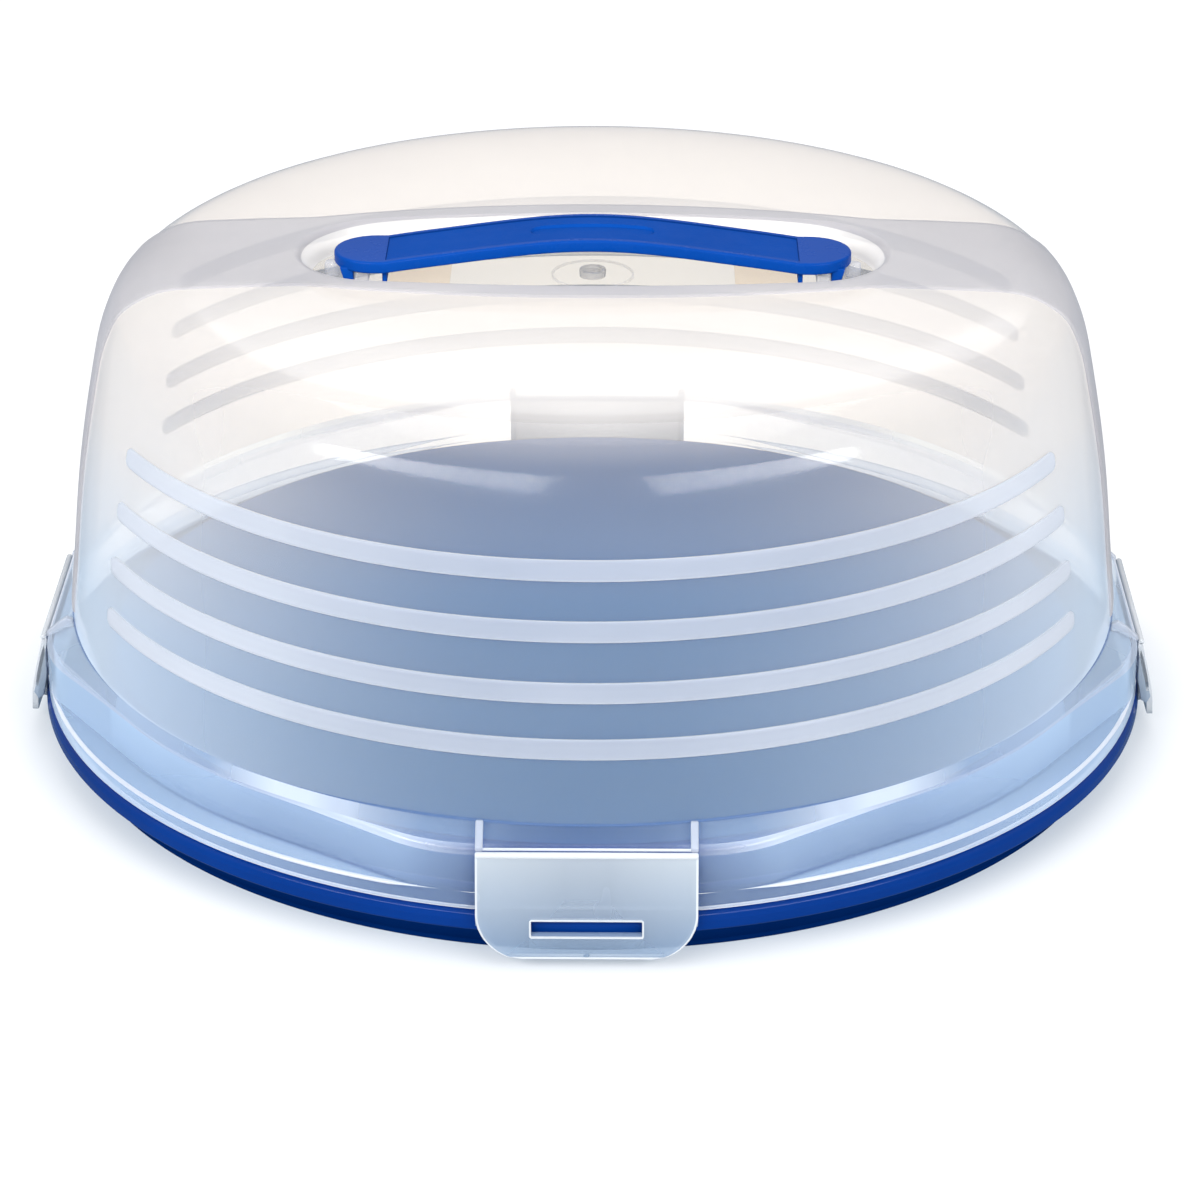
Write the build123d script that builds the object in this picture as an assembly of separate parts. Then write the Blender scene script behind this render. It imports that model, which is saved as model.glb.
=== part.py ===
from build123d import *
import math
import os

# Round cake carrier: a flat serving tray, a clear domed lid that stands on the
# tray's rim, four hinged locking flaps on the lid and a snapped-on strap handle.
# Millimetres. +Z is up, the tray's foot ring stands on z = 0, the lid's handle
# runs along X, and the four flaps face -Y, +Y, -X and +X.

os.makedirs("parts", exist_ok=True)

# ---------------------------------------------------------------- dimensions
# tray
TRAY_RIM_R = 170.0        # widest ring of the rolled rim
TRAY_RIM_Z = 9.8          # height of that ring's lower edge
TRAY_LIP_Z = 15.0         # top of the rim
TRAY_FOOT_R = 161.6       # outside of the foot ring
TRAY_DECK_Z = 26.0        # top of the serving deck
TRAY_DECK_R = 148.5       # flat part of the deck
TRAY_WALL = 2.4
TRAY_CHANNEL_Z = 13.0     # floor of the channel between deck and rim

# lid
WALL = 1.8
RIM_R = 169.2             # seating rim
RIM_Z0 = 15.3             # lower edge of the lid, 0.3 above the tray's rim
RIM_Z1 = 20.7             # ledge on top of the seating rim
FLAT_RIM = 166.2          # the rim is cut flat behind each flap
BOSS_FLAT = 166.0         # flat hinge face of each clip boss
BOSS_R = 161.2            # skirt between the bosses
BOSS_ANGLE = 34.0         # where a boss runs out into the skirt, from its axis
BOSS_CORNER = 46.0        # rounding between hinge face and run-out
BOSS_Z = 34.0             # top edge of the skirt
CREASE_R = 160.3          # where the sloping ledge meets the dome wall
CREASE_Z = 38.5
# outer surface of the dome, radius and height, from the ledge to the top
DOME = [(160.9, 31.0), (160.3, 38.5), (158.3, 57.0), (155.8, 80.0),
        (151.6, 106.0), (149.2, 118.0), (147.3, 126.0), (145.0, 132.0),
        (142.2, 137.0), (137.5, 141.0), (131.7, 144.0), (118.0, 145.9),
        (100.6, 146.6), (60.0, 147.3), (0.0, 147.6)]
TOP_Z = 147.6

BAND_HALF = 30.0          # satin band across the top, half width at its ends
BAND_MID = 41.0           # half width at the middle, around the recess
BAND_BULGE_X = 84.0       # where the band starts to widen
BAND_PROUD = 0.7
BAND_Z0 = 41.0            # lower end of the band on both sides

RIB_TOPS = [113.3, 96.6, 79.4, 63.2]   # satin ribs, front and back
RIB_H = 5.8
RIB_PROUD = 0.6
RIB_END_Y = 71.5          # the ribs stop on this plane

RECESS_LEN = 88.0         # grip recess, half length at the top
RECESS_HALF = 32.0        # half width at the middle
RECESS_ARC = 450.0        # its long sides are arcs of this radius
RECESS_FLOOR = 140.0
RECESS_DRAFT = 3.2        # the floor is smaller by this much all round

# strap handle
HANDLE_HALF = 77.4
HANDLE_W = 25.0
HANDLE_T = 3.6
HANDLE_TOP = 154.9
PAD_TOP = 147.9
PAD_IN = 61.8             # the pads are flat outside this distance
LEG_OUT_TOP = 75.2
LEG_OUT_BOT = 73.7
LEG_IN = 61.2
LEG_HALF_Y = 9.6
WINDOW_OUT = 71.2
WINDOW_IN = 62.6
LUG_IN = 66.8             # lid lug inside the leg's window

# clips
CLIP_W = 61.0
HINGE_R = 167.2
HINGE_Z = 32.8
HINGE_BEAD = 0.9
CLIP_BOT_Z = 4.0
CLIP_T = 1.8
CLIP_RIB = 4.0            # depth of the flap's side ribs
CLIP_CORNER = 12.5
SLOT_W = 31.7
SLOT_Z0, SLOT_Z1 = 10.3, 14.6
FIN_T = 2.1


# ------------------------------------------------------------------- helpers
def offset_profile(pts, off):
    """Move a profile of (r, z) points by off along its outward normal."""
    out = []
    n = len(pts)
    for i, (r, z) in enumerate(pts):
        r0, z0 = pts[max(i - 1, 0)]
        r1, z1 = pts[min(i + 1, n - 1)]
        if i == n - 1:
            nr, nz = 0.0, 1.0
        else:
            dr, dz = r1 - r0, z1 - z0
            length = math.hypot(dr, dz)
            nr, nz = dz / length, -dr / length
        out.append((max(r + nr * off, 0.0), z + nz * off))
    return out


def flat_face(edges):
    """One plane face inside closed edges."""
    return make_face(edges).face()


def revolve_profile(edges):
    """Solid of revolution about Z from closed edges in the XZ plane."""
    return revolve(flat_face(edges), Axis.Z, 360)


def dome_solid(off):
    """Everything under the dome surface, moved by off along its normal."""
    p = offset_profile(DOME, off)
    p3 = [(r, 0, z) for r, z in p]
    curve = Spline(*p3, tangents=[(-0.09, 0, 1), (-1, 0, 0)])
    start, end = p3[0], p3[-1]
    e1 = Line(end, (0, 0, start[2]))
    e2 = Line((0, 0, start[2]), start)
    return revolve_profile([curve, e1, e2])


def boss_points(off):
    """One eighth points of the skirt outline, inset by off."""
    a = math.radians(BOSS_ANGLE)
    f, r, c = BOSS_FLAT - off, BOSS_R - off, BOSS_CORNER - off
    # measured from the clip axis +Y here, then turned to each quadrant
    xc = (r - math.cos(a) * f) / math.sin(a)      # corner of flat and tangent
    t = c * math.tan(a / 2)
    p0 = (xc - t, f)
    p1 = (xc + t * math.cos(a), f - t * math.sin(a))
    # middle of the corner arc
    cx, cy = p0[0], f - c
    pm = (cx + c * math.sin(a / 2), cy + c * math.cos(a / 2))
    p2 = (r * math.sin(a), r * math.cos(a))
    return p0, pm, p1, p2, r


def skirt_wire(off, z):
    """Outline of the skirt: four flat hinge faces blended into a circle."""
    p0, pm, p1, p2, r = boss_points(off)
    q = r * math.sin(math.radians(45))

    def rot(p, k):
        x, y = p
        for _ in range(k):
            x, y = y, -x
        return (x, y, z)

    def mir(p):
        return (p[1], p[0])

    edges = []
    for k in range(4):
        edges.append(Line(rot((-p0[0], p0[1]), k), rot(p0, k)))
        edges.append(ThreePointArc(rot(p0, k), rot(pm, k), rot(p1, k)))
        edges.append(Line(rot(p1, k), rot(p2, k)))
        edges.append(ThreePointArc(rot(p2, k), rot((q, q), k), rot(mir(p2), k)))
        edges.append(Line(rot(mir(p2), k), rot(mir(p1), k)))
        edges.append(ThreePointArc(rot(mir(p1), k), rot(mir(pm), k), rot(mir(p0), k)))
    return Wire(edges)


def crease_wire(off, z, rad):
    """Circle cut at the same places as skirt_wire, for the sloping ledge."""
    p0, pm, p1, p2, _ = boss_points(off)

    def on(p):
        d = math.hypot(*p)
        return (p[0] * rad / d, p[1] * rad / d)

    def midang(a, b):
        m = (a[0] + b[0], a[1] + b[1])
        return on(m)

    def rot(p, k):
        x, y = p
        for _ in range(k):
            x, y = y, -x
        return (x, y, z)

    def mir(p):
        return (p[1], p[0])

    c0, c1, c2 = on(p0), on(p1), on(p2)
    edges = []
    for k in range(4):
        seq = [(-c0[0], c0[1]), c0, c1, c2, mir(c2), mir(c1), mir(c0)]
        for a, b in zip(seq[:-1], seq[1:]):
            edges.append(ThreePointArc(rot(a, k), rot(midang(a, b), k), rot(b, k)))
    return Wire(edges)


def skirt_solid(off, z_low, z_top, z_crease, r_crease):
    """Skirt with its sloping ledge, closed at z_low."""
    low = Solid.extrude(Face(skirt_wire(off, z_low)), Vector(0, 0, z_top - z_low))
    ledge = Solid.make_loft([skirt_wire(off, z_top), crease_wire(off, z_crease, r_crease)], True)
    return low + ledge


def rim_solid(off, z_low, z_high):
    ring = Pos(0, 0, z_low) * Cylinder(RIM_R - off, z_high - z_low,
                                       align=(Align.CENTER, Align.CENTER, Align.MIN))
    flat = Pos(0, 0, z_low) * Box(2 * (FLAT_RIM - off), 2 * (FLAT_RIM - off), z_high - z_low,
                                  align=(Align.CENTER, Align.CENTER, Align.MIN))
    return ring & flat


def lens_face(half_len, half_w, arc_r, inset, z):
    """Long rounded outline: two flat arcs joined by round ends, tangent."""
    w = half_w - inset
    length = half_len - inset
    r = arc_r - inset
    yc = r - w                                  # centre of a long arc
    # round end of radius rho centred at cx, tangent to both long arcs
    cx = (yc * yc - (r - length) ** 2) / (2 * (r - length))
    rho = length - cx
    d = math.hypot(cx, yc)
    tx, ty = r * cx / d, r * yc / d - yc
    c = [ThreePointArc((-tx, -ty, z), (0, -w, z), (tx, -ty, z)),
         ThreePointArc((tx, -ty, z), (length, 0, z), (tx, ty, z)),
         ThreePointArc((tx, ty, z), (0, w, z), (-tx, ty, z)),
         ThreePointArc((-tx, ty, z), (-length, 0, z), (-tx, -ty, z))]
    return Face(Wire(c))


def recess_solid(off):
    """Grip recess as a tapering basin, grown by off all round and downward."""
    top = lens_face(RECESS_LEN, RECESS_HALF, RECESS_ARC, -off, 152.0)
    mid = lens_face(RECESS_LEN, RECESS_HALF, RECESS_ARC, -off, 147.4)
    low = lens_face(RECESS_LEN, RECESS_HALF, RECESS_ARC, RECESS_DRAFT - off, RECESS_FLOOR - off)
    a = Solid.make_loft([low.outer_wire(), mid.outer_wire()], True)
    b = Solid.make_loft([mid.outer_wire(), top.outer_wire()], True)
    return a + b


def band_prism():
    """Plan outline of the satin band, as a tall prism."""
    x, h, m = BAND_BULGE_X, BAND_HALF, BAND_MID
    far = 175.0
    e = [Line((-far, -h, 0), (-x, -h, 0)),
         ThreePointArc((-x, -h, 0), (0, -m, 0), (x, -h, 0)),
         Line((x, -h, 0), (far, -h, 0)),
         Line((far, -h, 0), (far, h, 0)),
         Line((far, h, 0), (x, h, 0)),
         ThreePointArc((x, h, 0), (0, m, 0), (-x, h, 0)),
         Line((-x, h, 0), (-far, h, 0)),
         Line((-far, h, 0), (-far, -h, 0))]
    return Pos(0, 0, BAND_Z0) * Solid.extrude(Face(Wire(e)), Vector(0, 0, 130))


def wall_radius(z):
    """Dome radius at height z, between the listed points."""
    for (r0, z0), (r1, z1) in zip(DOME[:-1], DOME[1:]):
        if z0 <= z <= z1:
            return r0 + (r1 - r0) * (z - z0) / (z1 - z0)
    return DOME[0][0]


# ---------------------------------------------------------------------- tray
def make_tray():
    t = TRAY_WALL
    p = [(0, TRAY_DECK_Z), (TRAY_DECK_R, TRAY_DECK_Z), (150.6, TRAY_DECK_Z - 2.2),
         (152.2, TRAY_CHANNEL_Z + 1.2), (153.6, TRAY_CHANNEL_Z), (165.6, TRAY_CHANNEL_Z),
         (166.5, TRAY_LIP_Z), (167.9, TRAY_LIP_Z), (169.2, TRAY_LIP_Z - 0.7),
         (TRAY_RIM_R, TRAY_LIP_Z - 2.6), (TRAY_RIM_R, TRAY_RIM_Z),
         (162.3, 2.0), (TRAY_FOOT_R, 0.0), (159.0, 0.0), (159.0, 2.2),
         (165.4, 9.0), (165.4, TRAY_CHANNEL_Z - t), (151.4, TRAY_CHANNEL_Z - t),
         (149.9, TRAY_CHANNEL_Z), (148.2, TRAY_DECK_Z - t - 1.0),
         (147.2, TRAY_DECK_Z - t), (0, TRAY_DECK_Z - t)]
    body = revolve_profile([Polyline(*[(r, 0, z) for r, z in p], close=True)])
    # stiffening ribs under the deck: two rings and twelve spokes
    under = TRAY_DECK_Z - t
    ribs = None
    for r in (52.0, 104.0):
        ring = revolve_profile([Polyline((r, 0, under - 6.0), (r + 1.8, 0, under - 6.0),
                                         (r + 2.2, 0, under + 0.5), (r - 0.4, 0, under + 0.5), close=True)])
        ribs = ring if ribs is None else ribs + ring
    for k in range(12):
        spoke = Rot(0, 0, 15 + 30 * k) * (Pos(53.0, 0, under - 6.0) *
                                          Box(97.0, 1.8, 6.5, align=(Align.MIN, Align.CENTER, Align.MIN)))
        ribs = ribs + spoke
    return body + ribs


# ----------------------------------------------------------------------- lid
def make_lid():
    outer = (dome_solid(0.0) + skirt_solid(0.0, RIM_Z0, BOSS_Z, CREASE_Z, CREASE_R)
             + rim_solid(0.0, RIM_Z0, RIM_Z1))
    # satin band, a little proud of the clear dome
    outer = outer + (dome_solid(BAND_PROUD) & band_prism())
    # satin ribs on the front and the back of the wall
    for zt in RIB_TOPS:
        z0, z1 = zt - RIB_H, zt
        ring = revolve_profile([Polyline(
            (wall_radius(z0) - 0.9, 0, z0), (wall_radius(z0) + RIB_PROUD * 0.5, 0, z0),
            (wall_radius(z0 + 0.7) + RIB_PROUD, 0, z0 + 0.7), (wall_radius(z1 - 0.7) + RIB_PROUD, 0, z1 - 0.7),
            (wall_radius(z1) + RIB_PROUD * 0.5, 0, z1), (wall_radius(z1) - 0.9, 0, z1), close=True)])
        for s in (-1, 1):
            cut = Pos(0, s * (RIB_END_Y + 60), zt - RIB_H / 2) * Box(400, 120, 3 * RIB_H)
            outer = outer + (ring & cut)
    outer = outer - recess_solid(0.0)

    inner = (dome_solid(-WALL) + skirt_solid(WALL, RIM_Z0 - 1.0, BOSS_Z - 1.0, CREASE_Z - 1.0, CREASE_R - WALL)
             + rim_solid(WALL, RIM_Z0 - 1.0, RIM_Z1 - WALL))
    inner = inner - recess_solid(WALL)
    lid = outer - inner

    # two gusset fins beside every flap, standing on the sloping ledge
    xf = CLIP_W / 2 - FIN_T
    fin_pts = [(157.8, 36.5), (157.8, 40.4), (160.0, 39.6), (162.4, 38.0),
               (164.6, 36.1), (166.2, 34.6), (166.2, 33.2), (163.0, 34.6), (160.0, 36.3)]
    fins = None
    for s in (-1, 1):
        face = flat_face([Polyline(*[(0, -r, z) for r, z in fin_pts], close=True)])
        fin = Solid.extrude(face, Vector(FIN_T, 0, 0))
        fin = Pos(xf if s > 0 else -xf - FIN_T, 0, 0) * fin
        fins = fin if fins is None else fins + fin
    for k in range(4):
        lid = lid + Rot(0, 0, 90 * k) * fins

    # inside the recess: handle lugs, stops beside them, gate dimple and its ring
    z = RECESS_FLOOR
    for s in (-1, 1):
        lug = Pos(s * (WINDOW_OUT - 0.15 + LUG_IN) / 2, 0, z - 0.6) * Box(
            WINDOW_OUT - 0.15 - LUG_IN, 2 * LEG_HALF_Y - 1.2, 4.2, align=(Align.CENTER, Align.CENTER, Align.MIN))
        stop = Pos(s * 78.0, 0, z - 0.6) * Cylinder(2.4, 4.4, align=(Align.CENTER, Align.CENTER, Align.MIN))
        pad = Pos(s * 51.8, 0, z - 0.6) * Box(18.4, 22.0, 1.2, align=(Align.CENTER, Align.CENTER, Align.MIN))
        lid = lid + lug + stop + pad
    ring = Pos(0, 0, z - 0.6) * (Cylinder(12.4, 0.9, align=(Align.CENTER, Align.CENTER, Align.MIN))
                                 - Cylinder(11.8, 0.9, align=(Align.CENTER, Align.CENTER, Align.MIN)))
    gate = Pos(0, 0, z - 0.6) * Cylinder(4.0, 2.4, align=(Align.CENTER, Align.CENTER, Align.MIN))
    dish = Pos(0, 0, z + 0.8) * Cylinder(3.1, 2.0, align=(Align.CENTER, Align.CENTER, Align.MIN))
    return lid + ring + gate - dish


# -------------------------------------------------------------------- handle
def make_handle():
    top = [(-PAD_IN, PAD_TOP), (-42.8, 150.7), (-21.7, 153.5), (-9.8, 154.6), (0.0, HANDLE_TOP),
           (9.8, 154.6), (21.7, 153.5), (42.8, 150.7), (PAD_IN, PAD_TOP)]
    bot = [(x, z - HANDLE_T) for x, z in top]
    w = HANDLE_W / 2
    y = w + 1
    arch_top = Spline(*[(x, -y, z) for x, z in top], tangents=[(1, 0, 0.17), (1, 0, -0.17)])
    arch_bot = Spline(*[(x, -y, z) for x, z in bot], tangents=[(1, 0, 0.17), (1, 0, -0.17)])
    h = HANDLE_HALF + 1
    side = [Line((-h, -y, PAD_TOP), (-PAD_IN, -y, PAD_TOP)), arch_top,
            Line((PAD_IN, -y, PAD_TOP), (h, -y, PAD_TOP)),
            Line((h, -y, PAD_TOP), (h, -y, PAD_TOP - HANDLE_T)),
            Line((h, -y, PAD_TOP - HANDLE_T), (PAD_IN, -y, PAD_TOP - HANDLE_T)), arch_bot,
            Line((-PAD_IN, -y, PAD_TOP - HANDLE_T), (-h, -y, PAD_TOP - HANDLE_T)),
            Line((-h, -y, PAD_TOP - HANDLE_T), (-h, -y, PAD_TOP))]
    slab = Solid.extrude(flat_face(side), Vector(0, 2 * y, 0))
    plan = Pos(0, 0, 130) * extrude(SlotOverall(2 * HANDLE_HALF, HANDLE_W), 40)
    strap = slab & plan
    # matt top panel let in between two narrow borders
    panel_w = HANDLE_W - 4.4
    top_cut = [(x, z - 0.35) for x, z in top[0:9]]
    cut_low = Spline(*[(x, -panel_w / 2, z) for x, z in top_cut], tangents=[(1, 0, 0.17), (1, 0, -0.17)])
    cut_face = flat_face([cut_low, Line((PAD_IN, -panel_w / 2, PAD_TOP - 0.35), (PAD_IN, -panel_w / 2, 160)),
                          Line((PAD_IN, -panel_w / 2, 160), (-PAD_IN, -panel_w / 2, 160)),
                          Line((-PAD_IN, -panel_w / 2, 160), (-PAD_IN, -panel_w / 2, PAD_TOP - 0.35))])
    strap = strap - Solid.extrude(cut_face, Vector(0, panel_w, 0))
    # plain shallow oval at the middle
    oval = Pos(0, 0, HANDLE_TOP - 0.35 - 0.9) * extrude(SlotOverall(37.0, 7.4), 4)
    strap = strap - oval

    # legs: an outer and an inner post with a side window between them
    legs = None
    z0 = RECESS_FLOOR + 0.05
    for s in (-1, 1):
        outline = [(s * LEG_OUT_BOT, z0), (s * LEG_OUT_TOP, PAD_TOP - HANDLE_T + 0.5),
                   (s * LEG_IN, PAD_TOP - HANDLE_T + 0.5), (s * LEG_IN, z0),
                   (s * WINDOW_IN, z0), (s * WINDOW_IN, PAD_TOP - HANDLE_T),
                   (s * WINDOW_OUT, PAD_TOP - HANDLE_T), (s * WINDOW_OUT, z0)]
        face = flat_face([Polyline(*[(x, -LEG_HALF_Y, z) for x, z in outline], close=True)])
        leg = Solid.extrude(face, Vector(0, 2 * LEG_HALF_Y, 0))
        legs = leg if legs is None else legs + leg
    return strap + legs


# --------------------------------------------------------------------- clips
def make_clip():
    """Locking flap at -Y, closed, with its hinge bead along X."""
    w = CLIP_W / 2
    outer = [(HINGE_R + 0.5, HINGE_Z), (168.9, 27.5), (170.6, 20.5), (171.9, 13.0), (172.5, 8.0),
             (173.5, CLIP_BOT_Z)]
    inner = [(173.5 - CLIP_T, CLIP_BOT_Z), (172.5 - CLIP_T, 8.0), (171.95 - CLIP_T, 13.0), (170.6 - CLIP_T, 20.5),
             (168.9 - CLIP_T, 27.5), (HINGE_R - 0.7, HINGE_Z)]

    def prism(pts, x0, x1):
        face = flat_face([Polyline(*[(0, -r, z) for r, z in pts], close=True)])
        return Pos(x0, 0, 0) * Solid.extrude(face, Vector(x1 - x0, 0, 0))

    plate = prism(outer + inner, -w, w)
    # ribs along both sides of the flap, on the inside
    rib = [(HINGE_R + 0.3, 31.0), (168.8, 27.5), (170.5, 20.5), (171.8, 13.0), (172.4, 8.0),
           (173.4, CLIP_BOT_Z), (173.4 - CLIP_RIB, CLIP_BOT_Z), (168.5, 8.0), (168.0, 13.0),
           (166.9, 20.0), (166.7, 29.0)]
    flap = plate + prism(rib, -w, -w + 1.8) + prism(rib, w - 1.8, w)
    # large rounded lower corners, seen from the front
    c = CLIP_CORNER
    o = [Line((-w, 0, 40), (w, 0, 40)), Line((w, 0, 40), (w, 0, CLIP_BOT_Z + c)),
         ThreePointArc((w, 0, CLIP_BOT_Z + c), (w - c * (1 - math.sqrt(0.5)), 0, CLIP_BOT_Z + c * (1 - math.sqrt(0.5))),
                       (w - c, 0, CLIP_BOT_Z)),
         Line((w - c, 0, CLIP_BOT_Z), (-w + c, 0, CLIP_BOT_Z)),
         ThreePointArc((-w + c, 0, CLIP_BOT_Z), (-w + c * (1 - math.sqrt(0.5)), 0, CLIP_BOT_Z + c * (1 - math.sqrt(0.5))),
                       (-w, 0, CLIP_BOT_Z + c)),
         Line((-w, 0, CLIP_BOT_Z + c), (-w, 0, 40))]
    front = Pos(0, -180, 0) * Solid.extrude(flat_face(o), Vector(0, 30, 0))
    flap = flap & front
    # slot with its catch lip below it, which reaches under the tray's rim
    slot = Pos(0, -171, (SLOT_Z0 + SLOT_Z1) / 2) * Box(SLOT_W, 12, SLOT_Z1 - SLOT_Z0)
    flap = flap - slot
    catch = [(172.0, 9.9), (172.0, 6.4), (169.6, 6.0), (168.0, 6.3), (168.1, 7.3), (169.6, 8.8), (170.6, 9.6)]
    flap = flap + prism(catch, -SLOT_W / 2, SLOT_W / 2)
    # narrow frame round the slot
    frame_o = Pos(0, -171.9, 12.3) * Box(SLOT_W + 3.0, 1.4, 7.2)
    frame_i = Pos(0, -171.9, (SLOT_Z0 + SLOT_Z1) / 2) * Box(SLOT_W, 4, SLOT_Z1 - SLOT_Z0)
    flap = flap + (frame_o - frame_i)
    bead = Pos(0, -HINGE_R, HINGE_Z) * Rot(0, 90, 0) * Cylinder(HINGE_BEAD, CLIP_W)
    return flap + bead


# --------------------------------------------------------------------- write
def save(shape, name):
    solids = shape.solids()
    shape = solids[0] if len(solids) == 1 else Compound(children=list(solids))
    shape.label = name
    export_step(shape, "parts/" + name + ".step")
    print(name, len(solids), round(sum(s.volume for s in solids)))


save(make_tray(), "base_tray")
save(make_lid(), "lid_shell")
save(make_handle(), "carry_handle")
clip = make_clip()
for name, turn in (("clip_front", 0), ("clip_right", 90), ("clip_back", 180), ("clip_left", 270)):
    save(Rot(0, 0, turn) * clip, name)
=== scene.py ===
import bpy, bmesh, math
import numpy as np
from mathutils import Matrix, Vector


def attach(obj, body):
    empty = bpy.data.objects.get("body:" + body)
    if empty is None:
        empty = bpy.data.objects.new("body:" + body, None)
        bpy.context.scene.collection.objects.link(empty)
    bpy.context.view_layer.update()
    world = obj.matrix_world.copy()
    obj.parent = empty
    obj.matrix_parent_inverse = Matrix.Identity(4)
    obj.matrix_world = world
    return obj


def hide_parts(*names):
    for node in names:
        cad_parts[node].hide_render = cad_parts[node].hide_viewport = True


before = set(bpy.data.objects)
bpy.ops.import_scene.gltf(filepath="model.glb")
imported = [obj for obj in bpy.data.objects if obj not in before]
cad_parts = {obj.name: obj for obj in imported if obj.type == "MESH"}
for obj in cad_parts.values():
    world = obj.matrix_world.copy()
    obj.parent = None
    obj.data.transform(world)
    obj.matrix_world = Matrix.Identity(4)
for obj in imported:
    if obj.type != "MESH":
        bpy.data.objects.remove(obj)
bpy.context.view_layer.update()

MM = 0.001
pi = math.pi

# ------------------------------------------------------------------ dimensions, mm
WALL = 1.8
RIM_R, RIM_Z0, RIM_Z1, FLAT_RIM = 169.2, 15.3, 20.7, 166.2
BOSS_FLAT, BOSS_R, BOSS_ANGLE, BOSS_CORNER, BOSS_Z = 166.0, 161.2, 34.0, 46.0, 34.0
CREASE_R, CREASE_Z = 160.3, 38.5
DOME = [(160.9, 31.0), (160.3, 38.5), (158.3, 57.0), (155.8, 80.0), (151.6, 106.0), (149.2, 118.0),
        (147.3, 126.0), (145.0, 132.0), (142.2, 137.0), (137.5, 141.0), (131.7, 144.0), (118.0, 145.9),
        (100.6, 146.6), (60.0, 147.3), (0.0, 147.6)]
BX, BH, BM, BAND_PROUD, BAND_Z0 = 84.0, 30.0, 41.0, 0.7, 41.0
RIB_TOPS, RIB_H, RIB_PROUD, RIB_END_Y = [113.3, 96.6, 79.4, 63.2], 5.8, 0.6, 71.5
LENS_L, LENS_W, LENS_R, FLOOR_Z, DRAFT = 88.0, 32.0, 450.0, 140.0, 3.2


# ------------------------------------------------------------------ mesh helpers
class Build:
    """Collects grids and small solids in millimetres and makes one object of them."""

    def __init__(self):
        self.v, self.f, self.m, self.n = [], [], [], 0

    def add(self, pts, faces, mats=0):
        pts = np.asarray(pts, float).reshape(-1, 3)
        self.v.append(pts)
        k = self.n
        self.f += [[i + k for i in f] for f in faces]
        self.m += list(mats) if hasattr(mats, "__len__") else [mats] * len(faces)
        self.n += len(pts)

    def grid(self, P, mat=0, wrap=False):
        """P is rows x columns x 3; mat is one number or one per cell."""
        rows, cols = P.shape[:2]
        idx = np.arange(rows * cols).reshape(rows, cols)
        if wrap:
            idx = np.concatenate([idx, idx[:, :1]], 1)
        q = np.stack([idx[:-1, :-1], idx[:-1, 1:], idx[1:, 1:], idx[1:, :-1]], -1)
        m = np.broadcast_to(mat, q.shape[:2])
        self.add(P, q.reshape(-1, 4).tolist(), m.reshape(-1).tolist())

    def solid(self, bm, mat=0, fn=None):
        bm.verts.index_update()
        pts = [fn(v.co) if fn else tuple(v.co) for v in bm.verts]
        self.add(pts, [[v.index for v in f.verts] for f in bm.faces], mat)
        bm.free()

    def make(self, name, mats, body, nodes=(), sharp=38.0, merge=0.002, bevel=None):
        me = bpy.data.meshes.new(name)
        me.from_pydata((np.concatenate(self.v) * MM).tolist(), [], self.f)
        me.polygons.foreach_set("material_index", np.array(self.m, np.int32))
        bm = bmesh.new()
        bm.from_mesh(me)
        if merge:
            bmesh.ops.remove_doubles(bm, verts=bm.verts, dist=merge * MM)
            bad = [f for f in bm.faces if f.calc_area() < 1e-14]
            if bad:
                bmesh.ops.dissolve_degenerate(bm, dist=1e-7, edges=bm.edges)
        bmesh.ops.recalc_face_normals(bm, faces=bm.faces)
        if bevel:
            width, segs, angle = bevel
            edges = [e for e in bm.edges if len(e.link_faces) == 2 and e.calc_face_angle(0.0) > math.radians(angle)]
            bmesh.ops.bevel(bm, geom=edges, offset=width * MM, segments=segs, profile=0.5, affect="EDGES",
                            clamp_overlap=True, material=len(mats) - 1)
        self.open_edges = sum(1 for e in bm.edges if len(e.link_faces) != 2)
        bm.to_mesh(me)
        bm.free()
        me.polygons.foreach_set("use_smooth", [True] * len(me.polygons))
        me.set_sharp_from_angle(angle=math.radians(sharp))
        for m in mats:
            me.materials.append(m)
        ob = bpy.data.objects.new(name, me)
        bpy.context.scene.collection.objects.link(ob)
        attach(ob, body)
        if nodes:
            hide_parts(*nodes)
        print("piece", name, len(me.polygons), "open", self.open_edges)
        return ob


def prism(points, depth, bevel=0.3, segs=2):
    """Solid from a plane outline in x, y, with z from 0 to depth and rounded edges."""
    bm = bmesh.new()
    f = bm.faces.new([bm.verts.new((x, y, 0)) for x, y in points])
    r = bmesh.ops.extrude_face_region(bm, geom=[f])
    bmesh.ops.translate(bm, verts=[v for v in r["geom"] if isinstance(v, bmesh.types.BMVert)], vec=(0, 0, depth))
    bmesh.ops.recalc_face_normals(bm, faces=bm.faces)
    if bevel:
        edges = [e for e in bm.edges if len(e.link_faces) == 2 and e.calc_face_angle(0.0) > 0.45]
        bmesh.ops.bevel(bm, geom=edges, offset=bevel, segments=segs, profile=0.5, affect="EDGES", clamp_overlap=True)
    return bm


def turn(P, k):
    """Quarter turns about the vertical axis."""
    P = np.array(P, float)
    for _ in range(k % 4):
        P = np.stack([-P[..., 1], P[..., 0], P[..., 2]], -1)
    return P


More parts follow.
